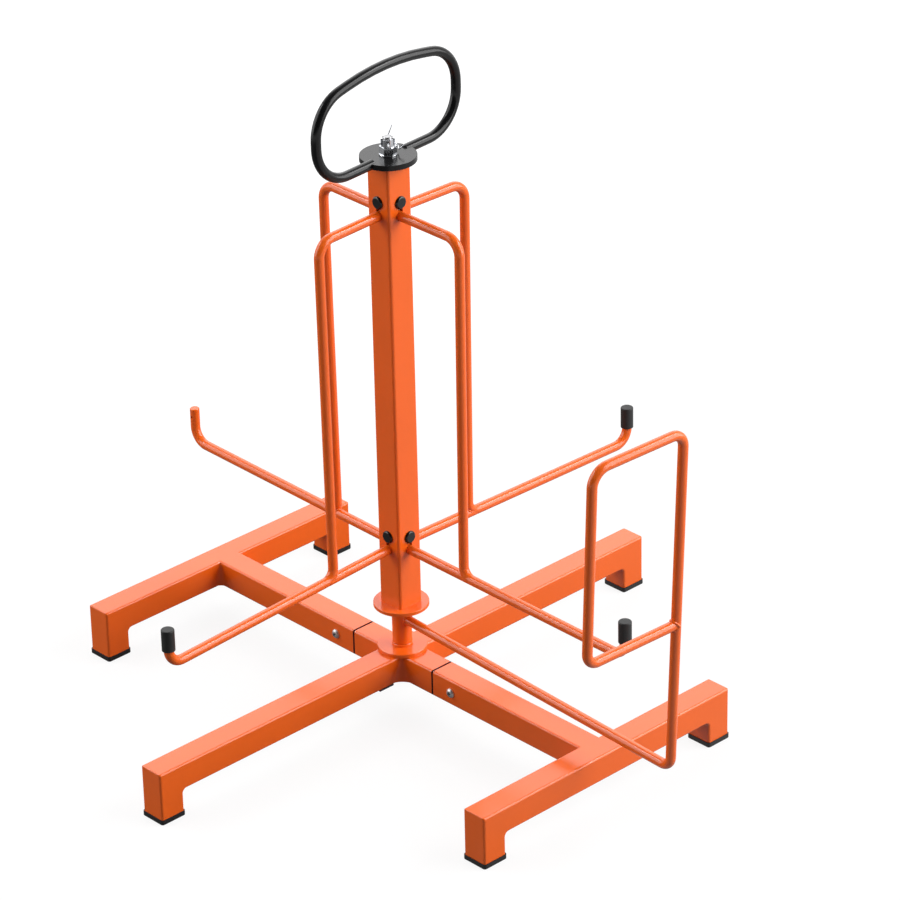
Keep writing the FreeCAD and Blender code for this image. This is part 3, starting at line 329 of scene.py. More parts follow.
def piece(name: str, shell: Shell, body: str,
          material: bpy.types.Material) -> bpy.types.Object:
    """Turns a skin into a piece of the rack.

    Args:
        name: The piece's name.
        shell: The skin, in millimetres.
        body: The body that it moves with.
        material: The finish.

    Returns:
        The new object, at the origin.
    """
    mesh = bpy.data.meshes.new(name)
    mesh.from_pydata((shell.points * MM).tolist(), [], shell.faces)
    mesh.validate()
    mesh.shade_smooth()
    mesh.set_sharp_from_angle(angle=SMOOTH_BELOW)
    mesh.materials.append(material)
    thing = bpy.data.objects.new(name, mesh)
    bpy.context.scene.collection.objects.link(thing)
    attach(thing, body)
    LOG.info("%s: %d points", name, len(mesh.vertices))
    return thing


# Finishes


class Graph:
    """The nodes of one tree, made and linked by short calls."""

    def __init__(self, tree: bpy.types.NodeTree) -> None:
        """Keeps the tree."""
        self.tree = tree

    def add(self, kind: str, **inputs: object) -> bpy.types.Node:
        """Adds a node and sets or links its inputs.

        Args:
            kind: The node's type.
            inputs: Values or sockets by the input's name, with _ for a space.

        Returns:
            The node.
        """
        node = self.tree.nodes.new(kind)
        for name, value in inputs.items():
            self.put(node, name.replace("_", " "), value)
        return node

    def put(self, node: bpy.types.Node, name: str | int, value: object) -> None:
        """Sets an input to a value, or links a socket to it.

        Args:
            node: The node.
            name: The input's name or number.
            value: A value or a socket.
        """
        if isinstance(value, bpy.types.NodeSocket):
            self.tree.links.new(value, node.inputs[name])
        else:
            node.inputs[name].default_value = value

    def step(self, operation: str, *terms: object) -> bpy.types.NodeSocket:
        """Works out one step of arithmetic.

        Args:
            operation: The step, such as MULTIPLY.
            terms: Values or sockets.

        Returns:
            The result's socket.
        """
        node = self.tree.nodes.new("ShaderNodeMath")
        node.operation = operation
        for number, term in enumerate(terms):
            self.put(node, number, term)
        return node.outputs[0]

    def agreement(self, first: object, second: object) -> bpy.types.NodeSocket:
        """Works out the dot product of two directions.

        Args:
            first: A direction or its socket.
            second: A direction or its socket.

        Returns:
            The result's socket.
        """
        node = self.tree.nodes.new("ShaderNodeVectorMath")
        node.operation = "DOT_PRODUCT"
        self.put(node, 0, first)
        self.put(node, 1, second)
        return node.outputs["Value"]

    def spot(self) -> bpy.types.NodeSocket:
        """Returns the socket of a point's place in its piece's own frame."""
        return self.add("ShaderNodeTexCoord").outputs["Object"]

    def blend(self, share: object, first: object, second: object) -> bpy.types.NodeSocket:
        """Mixes two colours.

        Args:
            share: How much of the second there is.
            first: A colour or socket.
            second: A colour or socket.

        Returns:
            The mixed colour's socket.
        """
        node = self.tree.nodes.new("ShaderNodeMix")
        node.data_type = "RGBA"
        self.put(node, 0, share)
        self.put(node, 6, first)
        self.put(node, 7, second)
        return node.outputs[2]

    def between(self, value: object, low: float, high: float, to_low: float,
                to_high: float) -> bpy.types.NodeSocket:
        """Maps a value from one span to another, smoothly and held at the ends.

        Args:
            value: A value or a socket.
            low: The first span's start.
            high: The first span's end.
            to_low: What the start becomes.
            to_high: What the end becomes.

        Returns:
            The mapped value's socket.
        """
        node = self.tree.nodes.new("ShaderNodeMapRange")
        node.interpolation_type = "SMOOTHSTEP"
        for number, term in enumerate((value, low, high, to_low, to_high)):
            self.put(node, number, term)
        return node.outputs[0]


class Effect(Enum):
    """The effects that several finishes share, one node group each."""

    PEEL = "peel_of_paint"
    EDGES = "edges_rubbed"
    DUST = "dust_and_hands"


class Effects:
    """Builds each shared effect once and places it in materials."""

    def __init__(self) -> None:
        """Makes the three groups."""
        self.groups = {
            Effect.PEEL: self.peel(),
            Effect.EDGES: self.edges(),
            Effect.DUST: self.dust(),
        }

    def place(self, graph: Graph, effect: Effect, **inputs: float) -> bpy.types.Node:
        """Puts an effect into a material.

        Args:
            graph: The material's graph.
            effect: Which effect.
            inputs: The effect's own values.

        Returns:
            The group's node.
        """
        node = graph.tree.nodes.new("ShaderNodeGroup")
        node.node_tree = self.groups[effect]
        for name, value in inputs.items():
            graph.put(node, name.replace("_", " "), value)
        return node

    def relief(self, graph: Graph, scale: float, strength: float,
               depth: float) -> bpy.types.NodeSocket:
        """Raises the low waves of paint or moulding.

        Args:
            graph: The material's graph.
            scale: How close the waves stand.
            strength: How much of the relief shows.
            depth: The waves' height in metres.

        Returns:
            The socket of the surface's new normal.
        """
        height = self.place(graph, Effect.PEEL, Scale=scale).outputs["Height"]
        bump = graph.add("ShaderNodeBump", Height=height, Strength=strength, Distance=depth)
        return bump.outputs[0]

    @staticmethod
    def started(effect: Effect, inputs: dict[str, float],
                outputs: Sequence[str]) -> tuple[Graph, bpy.types.Node, bpy.types.Node]:
        """Starts a group with its sockets.

        Args:
            effect: Which effect.
            inputs: The inputs' names and usual values.
            outputs: The outputs' names.

        Returns:
            The graph, the input node and the output node.
        """
        tree = bpy.data.node_groups.new(effect.value, "ShaderNodeTree")
        for name, value in inputs.items():
            socket = tree.interface.new_socket(name, in_out="INPUT",
                                               socket_type="NodeSocketFloat")
            socket.default_value = value
        for name in outputs:
            tree.interface.new_socket(name, in_out="OUTPUT", socket_type="NodeSocketFloat")
        graph = Graph(tree)
        return graph, tree.nodes.new("NodeGroupInput"), tree.nodes.new("NodeGroupOutput")

    def peel(self) -> bpy.types.NodeTree:
        """Builds the low, soft waves that sprayed paint dries with.

        Returns:
            The group.
        """
        graph, source, result = self.started(Effect.PEEL, {"Scale": 700.0}, ["Height"])
        waves = graph.add("ShaderNodeTexNoise", Vector=graph.spot(),
                          Scale=source.outputs["Scale"], Detail=1.0, Roughness=0.4)
        graph.put(result, "Height", waves.outputs[0])
        return graph.tree

    def edges(self) -> bpy.types.NodeTree:
        """Builds a mask that is high where a surface turns sharply.

        Returns:
            The group.
        """
        graph, source, result = self.started(
            Effect.EDGES, {"Radius": 0.001, "Break Up": 60.0}, ["Mask"])
        flat = graph.add("ShaderNodeNewGeometry").outputs["Normal"]
        soft = graph.add("ShaderNodeBevel", Radius=source.outputs["Radius"])
        soft.samples = 4
        # From cosines of 6 to 26 degrees between the true and the rounded surface
        turned = graph.between(graph.agreement(flat, soft.outputs[0]), 0.995, 0.9, 0.0, 1.0)
        patches = graph.add("ShaderNodeTexNoise", Vector=graph.spot(),
                            Scale=source.outputs["Break Up"], Detail=4.0, Roughness=0.65)
        broken = graph.between(patches.outputs[0], 0.42, 0.62, 0.0, 1.0)
        graph.put(result, "Mask", graph.step("MULTIPLY", turned, broken))
        return graph.tree

    def dust(self) -> bpy.types.NodeTree:
        """Builds cloudy patches, and a thin film where a surface faces up.

        Returns:
            The group.
        """
        graph, source, result = self.started(
            Effect.DUST, {"Scale": 9.0}, ["Patches", "Film"])
        clouds = graph.add("ShaderNodeTexNoise", Vector=graph.spot(),
                           Scale=source.outputs["Scale"], Detail=5.0, Roughness=0.6)
        patches = graph.between(clouds.outputs[0], 0.3, 0.7, 0.0, 1.0)
        graph.put(result, "Patches", patches)
        normal = graph.add("ShaderNodeNewGeometry").outputs["Normal"]
        parts = graph.add("ShaderNodeSeparateXYZ", Vector=normal)
        upward = graph.between(parts.outputs["Z"], 0.6, 1.0, 0.0, 1.0)
        graph.put(result, "Film", graph.step("MULTIPLY", upward, patches))
        return graph.tree


def linear(red: int, green: int, blue: int) -> Light:
    """Turns a screen colour into the light it stands for.

    A part up to 0.04045 is divided by 12.92. A larger one has 0.055 added, is
    divided by 1.055 and raised to the power 2.4.

    Args:
        red: From 0 to 255.
        green: From 0 to 255.
        blue: From 0 to 255.

    Returns:
        The colour as light, with full cover.
    """
    parts = np.array([red, green, blue]) / 255.0
    light = np.where(parts <= 0.04045, parts / 12.92, ((parts + 0.055) / 1.055) ** 2.4)
    return (float(light[0]), float(light[1]), float(light[2]), 1.0)


def shaded(shade: Shade, share: float) -> Light:
    """Returns a screen colour as light, of which only a share stays."""
    red, green, blue, cover = linear(*shade)
    return (red * share, green * share, blue * share, cover)


def started_material(name: str) -> tuple[bpy.types.Material, Graph, bpy.types.Node]:
    """Starts a material with its one surface shader.

    Args:
        name: The material's name.

    Returns:
        The material, its graph and its shader.
    """
    material = bpy.data.materials.new(name)
    material.use_nodes = True
    graph = Graph(material.node_tree)
    shader = next(node for node in graph.tree.nodes if node.type == "BSDF_PRINCIPLED")
    return material, graph, shader


@dataclass(frozen=True)
class PowderCoat:
    """Orange powder coat, baked on and glossy.

    Its lengths are in metres. Where seam_reach is set, the tubes' cut ends are painted dark,
    partly as bare steel and partly as painted shade in the gap between the tubes: a band
    seam_width wide, seam_reach out along X on both sides of the rack's middle.
    """

    name: str = "orange_powder_coat"
    body: Shade = (243, 102, 24)
    thin: Shade = (247, 128, 58)
    # Dark red of bare steel, with painted shade from the gap between the tubes
    bare: Shade = (78, 15, 9)
    roughness: float = 0.18
    specular: float = 0.5
    dulling: float = 0.03
    wear: float = 0.35
    cloud_shade: float = 0.94
    peel_scale: float = 420.0
    peel_strength: float = 0.12
    peel_depth: float = 0.00004
    seam_reach: float = 0.0
    seam_width: float = 0.0

    def material(self, effects: Effects) -> bpy.types.Material:
        """Dresses a surface in the paint.

        Args:
            effects: The shared effects.

        Returns:
            The finished material.
        """
        material, graph, shader = started_material(self.name)
        edges = effects.place(graph, Effect.EDGES, Radius=0.0012, Break_Up=45.0)
        dust = effects.place(graph, Effect.DUST, Scale=7.0)
        paint = graph.blend(dust.outputs["Patches"], linear(*self.body),
                            shaded(self.body, self.cloud_shade))
        worn = graph.step("MULTIPLY", edges.outputs["Mask"], self.wear)
        colour = graph.blend(worn, paint, linear(*self.thin))
        gloss = graph.step("MULTIPLY_ADD", dust.outputs["Patches"], self.dulling,
                           self.roughness)
        # Painted shade: the cut ends' dark band stands for bare steel and for the shade in
        # the gap
        if self.seam_reach:
            bare = self.seam(graph)
            colour = graph.blend(bare, colour, linear(*self.bare))
            gloss = graph.step("MAXIMUM", gloss, bare)
        graph.put(shader, "Base Color", colour)
        graph.put(shader, "Roughness", gloss)
        graph.put(shader, "Specular IOR Level", self.specular)
        normal = effects.relief(graph, self.peel_scale, self.peel_strength, self.peel_depth)
        graph.put(shader, "Normal", normal)
        return material

    def seam(self, graph: Graph) -> bpy.types.NodeSocket:
        """Marks the tubes' cut ends, painted dark as bare steel and as painted shade in the
        gap.

        Args:
            graph: The material's graph.

        Returns:
            A socket that is 1 on the dark band of bare steel and painted shade.
        """
        along = graph.add("ShaderNodeSeparateXYZ", Vector=graph.spot()).outputs["X"]
        past = graph.step("SUBTRACT", graph.step("ABSOLUTE", along), self.seam_reach)
        return graph.step("LESS_THAN", graph.step("ABSOLUTE", past), self.seam_width / 2.0)


@dataclass(frozen=True)
class GlossPaint:
    """Black gloss paint on the handle."""

    name: str = "black_gloss_paint"
    body: Shade = (14, 14, 15)
    rubbed: Shade = (58, 58, 60)
    dusty: Shade = (60, 60, 62)
    roughness: float = 0.18
    specular: float = 0.3
    dulling: float = 0.04
    wear: float = 0.5
    film: float = 0.12
    peel_scale: float = 420.0
    peel_strength: float = 0.3
    peel_depth: float = 0.00005

    def material(self, effects: Effects) -> bpy.types.Material:
        """Dresses a surface in the paint.

        Args:
            effects: The shared effects.

        Returns:
            The finished material.
        """
        material, graph, shader = started_material(self.name)
        edges = effects.place(graph, Effect.EDGES, Radius=0.001, Break_Up=70.0)
        dust = effects.place(graph, Effect.DUST, Scale=14.0)
        worn = graph.step("MULTIPLY", edges.outputs["Mask"], self.wear)
        paint = graph.blend(worn, linear(*self.body), linear(*self.rubbed))
        film = graph.step("MULTIPLY", dust.outputs["Film"], self.film)
        graph.put(shader, "Base Color", graph.blend(film, paint, linear(*self.dusty)))
        gloss = graph.step("MULTIPLY_ADD", dust.outputs["Patches"], self.dulling,
                           self.roughness)
        graph.put(shader, "Roughness", gloss)
        graph.put(shader, "Specular IOR Level", self.specular)
        normal = effects.relief(graph, self.peel_scale, self.peel_strength, self.peel_depth)
        graph.put(shader, "Normal", normal)
        return material


@dataclass(frozen=True)
class Moulded:
    """Moulded rubber or plastic."""

    name: str
    body: Shade
    bloom: Shade
    roughness: float
    grain: float
    depth: float
    grain_strength: float = 0.5
    dulling: float = 0.08
    wear: float = 0.5
    haze: float = 0.2

    def material(self, effects: Effects) -> bpy.types.Material:
        """Dresses a surface in the moulded stuff.

        Args:
            effects: The shared effects.

        Returns:
            The finished material.
        """
        material, graph, shader = started_material(self.name)
        edges = effects.place(graph, Effect.EDGES, Radius=0.0008, Break_Up=90.0)
        dust = effects.place(graph, Effect.DUST, Scale=22.0)
        rubbed = graph.step("MULTIPLY", edges.outputs["Mask"], self.wear)
        stuff = graph.blend(rubbed, linear(*self.body), linear(*self.bloom))
        film = graph.step("MULTIPLY", dust.outputs["Patches"], self.haze)
        graph.put(shader, "Base Color", graph.blend(film, stuff, linear(*self.bloom)))
        gloss = graph.step("MULTIPLY_ADD", dust.outputs["Patches"], self.dulling,
                           self.roughness)
        graph.put(shader, "Roughness", gloss)
        normal = effects.relief(graph, self.grain, self.grain_strength, self.depth)
        graph.put(shader, "Normal", normal)
        return material


@dataclass(frozen=True)
class Steel:
    """Bare or plated steel with fine turning marks."""

    name: str
    body: Shade
    roughness: float
    marks: float
    mark_strength: float = 0.12
    mark_depth: float = 0.00003
    dulling: float = 0.1
    cloud_shade: float = 0.8
    rubbed: Shade = (250, 250, 250)

    def material(self, effects: Effects) -> bpy.types.Material:
        """Dresses a surface in the metal.

        Args:
            effects: The shared effects.

        Returns:
            The finished material.
        """
        material, graph, shader = started_material(self.name)
        dust = effects.place(graph, Effect.DUST, Scale=120.0)
        edges = effects.place(graph, Effect.EDGES, Radius=0.0005, Break_Up=200.0)
        metal = graph.blend(dust.outputs["Patches"], linear(*self.body),
                            shaded(self.body, self.cloud_shade))
        graph.put(shader, "Base Color",
                  graph.blend(edges.outputs["Mask"], metal, linear(*self.rubbed)))
        graph.put(shader, "Metallic", 1.0)
        gloss = graph.step("MULTIPLY_ADD", dust.outputs["Patches"], self.dulling,
                           self.roughness)
        graph.put(shader, "Roughness", gloss)
        rings = graph.add("ShaderNodeTexWave", Vector=graph.spot(), Scale=self.marks,
                          Distortion=1.5, Detail=2.0)
        rings.wave_type = "RINGS"
        rings.rings_direction = "Z"
        bump = graph.add("ShaderNodeBump", Height=rings.outputs["Fac"],
                         Strength=self.mark_strength, Distance=self.mark_depth)
        graph.put(shader, "Normal", bump.outputs[0])
        return material


class Wardrobe:
    """Every finish by its material slot in the model, and the nodes with one of their own.
    """

    OWN_FINISH: dict[str, str] = {
        "hub_frame": "orange_coat_and_shaded_bare_ends",
        "leg_right": "orange_coat_and_shaded_bare_ends",
        "leg_left": "orange_coat_and_shaded_bare_ends",
        "insert_tube_right": "scaled_steel",
        "insert_tube_left": "scaled_steel",
        "leg_screws": "satin_zinc",
    }

    def __init__(self) -> None:
        """Builds the effects and the finishes."""
        effects = Effects()
        finishes = [
            PowderCoat(),
            # The tubes' cut ends get a dark band of bare steel, with painted shade in the
            # gap
            PowderCoat("orange_coat_and_shaded_bare_ends", seam_reach=0.0616, seam_width=0.0026),
            GlossPaint(),
            Moulded("black_rubber", (24, 24, 25), (52, 51, 50), roughness=0.5,
                    grain=1500.0, depth=0.00008),
            Moulded("black_gloss_plastic", (9, 9, 10), (20, 20, 21), roughness=0.12,
                    grain=500.0, depth=0.00001),
            Moulded("bush_plastic", (224, 220, 208), (196, 190, 176), roughness=0.38,
                    grain=900.0, depth=0.00003),
            Steel("bright_zinc", (214, 216, 220), roughness=0.14, marks=900.0),
            Steel("satin_zinc", (226, 226, 226), roughness=0.42, marks=900.0),
            Steel("plain_steel", (172, 172, 174), roughness=0.3, marks=1300.0),
            Steel("scaled_steel", (58, 52, 50), roughness=0.5, marks=700.0),
        ]
        self.materials = {finish.name: finish.material(effects) for finish in finishes}

    def of(self, slot: str) -> bpy.types.Material:
        """Returns the material of a slot."""
        return self.materials[slot]

    def dress(self, nodes: dict[str, bpy.types.Object]) -> None:
        """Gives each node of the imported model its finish.

        Args:
            nodes: The nodes by name.
        """
        for name, node in sorted(nodes.items()):
            for holder in node.material_slots:
                slot = holder.material.name.split(".")[0]
                holder.material = self.materials[self.OWN_FINISH.get(name, slot)]
            LOG.info("%s: dressed", name)


# Pieces


class Side(Enum):
    """Where a spool arm stands: its direction, and its own slack turn."""

    FRONT = ("front", -90.0, 3.3)
    RIGHT = ("right", 0.0, -0.5)
    REAR = ("rear", 90.0, -1.5)
    LEFT = ("left", 180.0, -1.0)

    @property
    def label(self) -> str:
        """The side's name."""
        return self.value[0]

    @property
    def direction(self) -> float:
        """The side's direction in degrees."""
        return self.value[1]

    @property
    def slack(self) -> float:
        """The arm's turn in its sockets in degrees."""
        return self.value[2]


@dataclass
class SpoolArm:
    """A bent rod that hooks into two keyholes, with its strut, in millimetres."""

    side: Side
    rod_radius: float = PAINTED_ROD_RADIUS
    root: float = 16.4
    upper: float = 572.3
    lower: float = 184.7
    shoulder: float = 103.2
    foot: float = 99.3
    reach: float = 336.7
    tip_start: float = 207.0
    tip: float = 225.0
    shoulder_bend: float = 18.0
    foot_bend: float = 13.0
    tip_bend: float = 18.0
    tip_chamfer: float = 0.8
    hole_radius: float = 1.2
    hole_drop: float = 10.0
    hole_depth: float = 4.2
    hole_wall: float = 0.25
    tip_rows: int = 81
    tip_sides: int = 144
    strut_end: float = 108.3
    stud_head: float = 5.5
    stud_neck: float = 3.0
    stud_start: float = 10.6
    stud_step: float = 13.6
    stud_crown: float = 0.5
    stud_edge: float = 0.3
    stud_overlap: float = 0.3
    pivot: float = 15.0
    weld: float = 1.5
    weld_spread: float = 1.25
    weld_lean: float = 0.8
    weld_ripples: float = 9.0

    def wire(self) -> Shell:
        """Lays the long bent rod, up to the start of its bare tip.

        Returns:
            The rod.
        """
        corners = (
            (self.root, 0.0, self.upper),
            (self.shoulder, 0.0, self.upper),
            (self.foot, 0.0, self.lower),
            (self.reach, 0.0, self.lower),
            (self.reach, 0.0, self.tip_start),
        )
        bends = (self.shoulder_bend, self.foot_bend, self.tip_bend)
        return rod(Route(corners, bends), self.rod_radius)

    def tip_end(self) -> Shell:
        """Lays the rod's last run, with a pocket at each mouth of its cross hole.

        A point stands on a circle round the rod's middle, then moves sideways
        towards it by the pocket's depth where its distance from the mouth's
        middle, seen along the hole, is under the hole's radius. The move grows
        from nothing to all over the thin wall at that radius.

        Returns:
            The tip.
        """
        shoulder = self.tip - self.tip_chamfer
        heights = np.append(np.linspace(self.tip_start, shoulder, self.tip_rows), self.tip)
        radii = np.full_like(heights, self.rod_radius)
        radii[-1] -= self.tip_chamfer
        angles = angles_round(self.tip_sides)
        along = radii[:, None] * np.cos(angles)
        across = radii[:, None] * np.sin(angles)
        distance = np.hypot(along, (heights - self.tip + self.hole_drop)[:, None])
        share = np.clip((self.hole_radius - distance) / self.hole_wall + 0.5, 0.0, 1.0)
        across = across - np.sign(across) * self.hole_depth * share
        level = np.broadcast_to(heights[:, None], along.shape)
        return woven(np.stack([self.reach + along, across, level], axis=2))

    def strut(self) -> Shell:
        """Returns the straight rod between the lower keyhole and the foot bend."""
        corners = ((self.root, 0.0, self.lower), (self.strut_end, 0.0, self.lower))
        return rod(Route(corners, ()), self.rod_radius)

    def stud(self, height: float) -> Shell:
        """Turns a headed stud.

        Args:
            height: The height of its keyhole.

        Returns:
            The stud.
        """
        profile = (
            (self.stud_start, self.stud_head - self.stud_crown),
            (self.stud_start + self.stud_crown, self.stud_head),
            (self.stud_step - self.stud_edge, self.stud_head),
            (self.stud_step, self.stud_head - self.stud_edge),
            (self.stud_step, self.stud_neck),
            (self.root + self.stud_overlap, self.stud_neck),
        )
        return turned_profile(profile, (0.0, 0.0, height), (1.0, 0.0, 0.0))

    def weld_bead(self) -> Shell:
        """Lays the bead in the crease over the strut.

        At the angle a from the top, the strut's surface meets the bend's
        where the distance to the bend's middle is the bend's radius plus the
        rod's radius times the cosine of a.

        Returns:
            The bead.
        """
        angles = np.linspace(-self.weld_spread, self.weld_spread, POINTS_OVER_A_WELD)
        across = self.rod_radius * np.sin(angles)
        rise = self.rod_radius * np.cos(angles)
        away = self.foot_bend + rise
        drop = self.foot_bend - rise
        along = (self.foot + self.foot_bend) - np.sqrt(away ** 2 - drop ** 2)
        line = np.stack([along, across, self.lower + rise], axis=1)
        inward = -np.full_like(angles, self.weld_lean)
        outward = np.stack([inward, np.sin(angles), np.cos(angles)], axis=1)
        return bead(line, outward, self.weld, self.weld_ripples, closed=False)

    def placed(self, shell: Shell) -> Shell:
        """Turns a skin from the arm's own plane to its place."""
        slack = shell.turned(self.side.slack, (self.pivot, 0.0, 0.0))
        return slack.turned(self.side.direction)

    def build(self, wardrobe: Wardrobe) -> None:
        """Makes the arm and stands it in for its node.

        Args:
            wardrobe: The finishes.
        """
        shell = joined(self.wire(), self.tip_end(), self.strut(), self.stud(self.upper),
                       self.stud(self.lower), self.weld_bead())
        slot = "orange_powder_coat"
        thing = piece(f"spool_arm_wire_{self.side.label}", self.placed(shell), "column",
                      wardrobe.of(slot))
        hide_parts(f"spool_arm_{self.side.label}")


@dataclass
class GuideArm:
    """A bent rod that ends in a loop which the wire runs through, in millimetres."""

    turn: float = -2.3
    rod_radius: float = PAINTED_ROD_RADIUS
    sleeve_radius: float = 10.6
    start: float = 9.2
    start_height: float = 96.3
    out: float = 414.0
    out_height: float = 93.5
    top: float = 431.0
    rise: float = 481.4
    width: float = 120.3
    low: float = 421.43
    low_height: float = 263.1
    loop_end: float = 1.5
    bends: tuple[float, float, float, float] = (13.0, 16.0, 19.0, 14.0)
    weld: float = 1.6
    weld_lean: float = 0.7
    sleeve_ripples: float = 14.0
    loop_ripples: float = 12.0
    loop_weld_ease: float = 0.4

    def wire(self) -> Shell:
        """Lays the whole rod, from the sleeve to the loop's closing weld.

        Returns:
            The rod.
        """
        fall = (self.out_height - self.start_height) / self.out
        corners = (
            (self.start, 0.0, self.start_height + fall * self.start),
            (self.out, 0.0, self.out_height),
            (self.top, 0.0, self.rise),
            (self.top, -self.width, self.rise),
            (self.low, -self.width, self.low_height),
            (self.low, -self.loop_end, self.low_height),
        )
        return rod(Route(corners, self.bends), self.rod_radius)

    def sleeve_weld(self) -> Shell:
        """Lays the bead round the rod at the sleeve.

        At the angle a round the rod, the two surfaces meet where the distance
        out is the root of the sleeve's radius squared less the square of the
        rod's radius times the sine of a.

        Returns:
            The bead.
        """
        angles = angles_round(POINTS_ROUND_A_WELD)
        across = self.rod_radius * np.sin(angles)
        rise = self.rod_radius * np.cos(angles)
        along = np.sqrt(self.sleeve_radius ** 2 - across ** 2)
        line = np.stack([along, across, self.start_height + rise], axis=1)
        lean = np.full_like(angles, self.weld_lean)
        outward = np.stack([lean, np.sin(angles), np.cos(angles)], axis=1)
        return bead(line, outward, self.weld, self.sleeve_ripples, closed=True)

    def loop_weld(self) -> Shell:
        """Lays the bead where the loop closes on its own upright.

        At the angle a round the closing run, the two equal rods meet where
        the distance out is the rod's radius times the cosine of a, taken
        without its sign and kept a little off nothing.

        Returns:
            The bead.
        """
        angles = angles_round(POINTS_ROUND_A_WELD)
        across = self.rod_radius * np.sin(angles)
        rise = self.rod_radius * np.cos(angles)
        along = -np.sqrt(self.rod_radius ** 2 - across ** 2 + self.loop_weld_ease)
        line = np.stack([self.low + across, along, self.low_height + rise], axis=1)
        lean = -np.full_like(angles, self.weld_lean)
        outward = np.stack([np.sin(angles), lean, np.cos(angles)], axis=1)
        return bead(line, outward, self.weld, self.loop_ripples, closed=True)

    def build(self, wardrobe: Wardrobe) -> None:
        """Makes the arm and stands it in for its node.

        Args:
            wardrobe: The finishes.
        """
        shell = joined(self.wire(), self.sleeve_weld(), self.loop_weld()).turned(self.turn)
        slot = "orange_powder_coat"
        thing = piece("guide_arm_wire", shell, "guide", wardrobe.of(slot))
        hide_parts("guide_arm")


@dataclass
class Handle:
    """The closed loop of rod that the rack is carried by, in millimetres."""

    turn: float = 94.0
    rod_radius: float = PAINTED_ROD_RADIUS
    slot_end: float = 24.0
    reach: float = 103.3
    foot: float = 633.0
    shoulder: float = 720.2
    peak: float = 739.7
    foot_bend: float = 43.0
    shoulder_bend: float = 44.0
    arch_bend: float = 300.0

    def build(self, wardrobe: Wardrobe) -> None:
        """Makes the loop and stands it in for its node.

        Args:
            wardrobe: The finishes.
        """
        corners = (
            (self.slot_end, 0.0, self.foot),
            (self.reach, 0.0, self.foot),
            (self.reach, 0.0, self.shoulder),
            (0.0, 0.0, self.peak),
            (-self.reach, 0.0, self.shoulder),
            (-self.reach, 0.0, self.foot),
            (-self.slot_end, 0.0, self.foot),
        )
        bends = (self.foot_bend, self.shoulder_bend, self.arch_bend,
                 self.shoulder_bend, self.foot_bend)
        shell = rod(Route(corners, bends), self.rod_radius).turned(self.turn)
        slot = "black_gloss_paint"
        thing = piece("handle_rod", shell, "base", wardrobe.of(slot))
        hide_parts("handle_loop")


# Studio


@dataclass(frozen=True)
class Lamp:
    """A soft box: where it stands, its size and its strength."""

    name: str
    place: Point
    size: tuple[float, float]
    watts: float

    def build(self, target: Point) -> None:
        """Makes the lamp and points it.

        Args:
            target: The point that it faces.
        """
        data = bpy.data.lights.new(self.name, "AREA")
        data.shape = "RECTANGLE"
        data.size, data.size_y = self.size
        data.energy = self.watts
        lamp = bpy.data.objects.new(self.name, data)
        bpy.context.scene.collection.objects.link(lamp)
        way = Vector(target) - Vector(self.place)
        lamp.matrix_world = (Matrix.Translation(self.place)
                             @ way.to_track_quat("-Z", "Y").to_matrix().to_4x4())


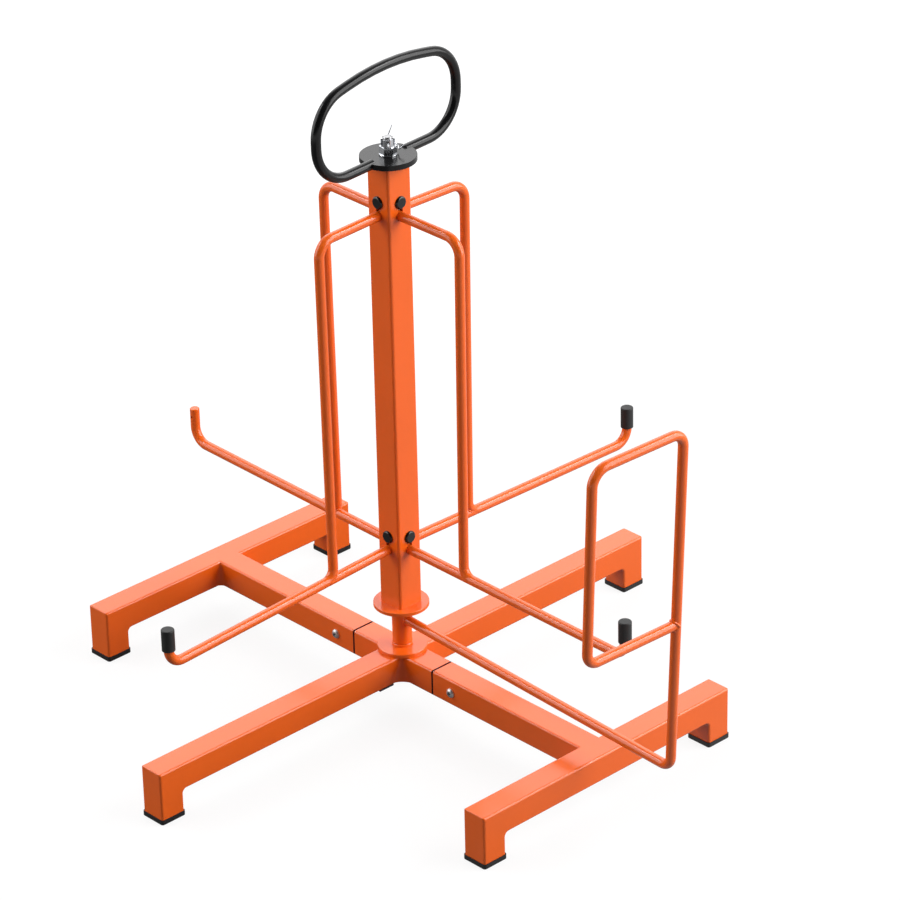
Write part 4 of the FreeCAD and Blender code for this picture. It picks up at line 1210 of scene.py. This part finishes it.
@dataclass
class Studio:
    """The floor, the lamps, the surroundings and the camera, in metres."""

    target: Point = (0.0439, 0.0353, 0.3002)
    eye: Point = (3.02613, -2.75248, 2.44075)
    roll: float = -1.32
    focal_pixels: float = 4402.65
    frame_pixels: float = 900.0
    sensor: float = 36.0
    floor_radius: float = 9.0
    floor_sides: int = 96
    floor_drop: float = 0.0006
    floor_shade: float = 0.12
    lamp_target: Point = (0.0, 0.0, 0.33)
    mirrored_side: Point = (0.735, 0.678, 0.0)
    backdrop_side: Point = (-0.73, 0.68, 0.0)
    mirrored_light: float = 0.75
    lamps: tuple[Lamp, ...] = (
        Lamp("lamp_right", (2.45, 2.05, 1.75), (3.4, 3.4), 174.0),
        Lamp("lamp_left", (-2.08, -2.08, 1.62), (2.8, 2.8), 68.0),
        Lamp("lamp_behind", (-2.52, 2.32, 2.39), (3.2, 3.2), 40.0),
        Lamp("small_lamp_right", (1.69, 2.20, 2.63), (0.6, 0.6), 12.0),
        Lamp("small_lamp_left", (-2.34, -1.28, 2.78), (0.6, 0.6), 10.0),
    )

    def camera(self) -> None:
        """Places the camera where the photograph was taken from."""
        forward = (Vector(self.target) - Vector(self.eye)).normalized()
        right = forward.cross(Vector(UP)).normalized()
        upward = right.cross(forward)
        lean = math.radians(self.roll)
        right_leant = math.cos(lean) * right + math.sin(lean) * upward
        upward_leant = -math.sin(lean) * right + math.cos(lean) * upward
        data = bpy.data.cameras.new("camera")
        data.sensor_width = self.sensor
        data.lens = self.focal_pixels / self.frame_pixels * self.sensor
        data.clip_end = 100.0
        camera = bpy.data.objects.new("camera", data)
        bpy.context.scene.collection.objects.link(camera)
        turn = Matrix((right_leant, upward_leant, -forward)).transposed().to_4x4()
        camera.matrix_world = Matrix.Translation(self.eye) @ turn
        bpy.context.scene.camera = camera

    def floor(self) -> None:
        """Lays a wide pale disc that keeps the rack's shadow."""
        angles = angles_round(self.floor_sides)
        rim = np.stack([np.cos(angles), np.sin(angles), np.zeros_like(angles)], axis=1)
        points = rim * self.floor_radius
        points[:, 2] = -self.floor_drop
        mesh = bpy.data.meshes.new("floor")
        mesh.from_pydata(points.tolist(), [], [list(range(len(points)))])
        mesh.materials.append(self.floor_material())
        floor = bpy.data.objects.new("floor", mesh)
        bpy.context.scene.collection.objects.link(floor)

    def floor_material(self) -> bpy.types.Material:
        """Builds the floor's white, plain to look at and dim to the rack.

        Returns:
            The material.
        """
        material, graph, shader = started_material("floor_white")
        graph.put(shader, "Roughness", 0.9)
        graph.put(shader, "Specular IOR Level", 0.0)
        graph.put(shader, "Base Color", (self.floor_shade,) * 3 + (1.0,))
        spot = graph.spot()
        distance = graph.step("SQRT", graph.agreement(spot, spot))
        # Painted light and shade: in a reflection its glow is bright on the lit side and
        # wherever it is far away, and dim near the rack on the other side
        side = graph.agreement(spot, self.mirrored_side)
        near = graph.between(side, -0.05, 0.4, 0.05, 0.55)
        far = graph.between(distance, 1.6, 3.6, 0.0, 1.0)
        reflected = graph.step("MAXIMUM", near, far)
        # Near the rack it is a little under white, which leaves room for the shadow
        plain_glow = graph.between(distance, 0.6, 1.1, 0.88, 1.0)
        seen = self.seen(graph, graph.step("DIVIDE", reflected, plain_glow))
        graph.put(shader, "Emission Color", WHITE)
        graph.put(shader, "Emission Strength", graph.step("MULTIPLY", seen, plain_glow))
        return material

    @staticmethod
    def seen(graph: Graph, glossy_share: object) -> bpy.types.NodeSocket:
        """Says whether a ray shows the background.

        Args:
            graph: The material's or the world's graph.
            glossy_share: How much of it a reflection shows.

        Returns:
            A socket that is 1 for such a ray.
        """
        rays = graph.add("ShaderNodeLightPath")
        direct = graph.step("MAXIMUM", rays.outputs["Is Camera Ray"],
                            rays.outputs["Is Transmission Ray"])
        mirrored = graph.step("MULTIPLY", rays.outputs["Is Glossy Ray"], glossy_share)
        return graph.step("MAXIMUM", direct, mirrored)

    def surroundings(self) -> None:
        """Builds the room: white to look at, softly lit to the rack."""
        world = bpy.data.worlds.new("room")
        world.use_nodes = True
        bpy.context.scene.world = world
        graph = Graph(world.node_tree)
        back = next(node for node in graph.tree.nodes if node.type == "BACKGROUND")
        way = graph.add("ShaderNodeTexCoord").outputs["Generated"]
        behind = graph.agreement(way, self.backdrop_side)
        # A reflection shows the white only on the backdrop's side
        seen = self.seen(graph, graph.between(behind, 0.1, 0.7, 0.0, 1.0))
        # The soft light comes mostly from there, and a reflection shows a quarter of it
        soft = graph.between(behind, -0.6, 0.8, 0.2, 0.7)
        rays = graph.add("ShaderNodeLightPath")
        mirrored = graph.step("MULTIPLY", rays.outputs["Is Glossy Ray"], self.mirrored_light)
        matt = graph.step("SUBTRACT", 1.0, mirrored)
        lit = graph.step("MULTIPLY", soft, matt)
        graph.put(back, "Strength", graph.step("MAXIMUM", seen, lit))
        graph.put(back, "Color", WHITE)

    def build(self) -> None:
        """Makes the whole studio."""
        self.camera()
        self.floor()
        self.surroundings()
        for lamp in self.lamps:
            lamp.build(self.lamp_target)
        bpy.context.scene.view_settings.view_transform = "Standard"
        LOG.info("studio: %d lamps", len(self.lamps))


def main() -> None:
    """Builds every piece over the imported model."""
    logging.basicConfig(level=logging.INFO, format="%(name)s: %(message)s")
    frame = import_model()
    wardrobe = Wardrobe()
    wardrobe.dress(frame["nodes"])
    for side in Side:
        SpoolArm(side).build(wardrobe)
    GuideArm().build(wardrobe)
    Handle().build(wardrobe)
    Studio().build()


if __name__ == "__main__":
    main()
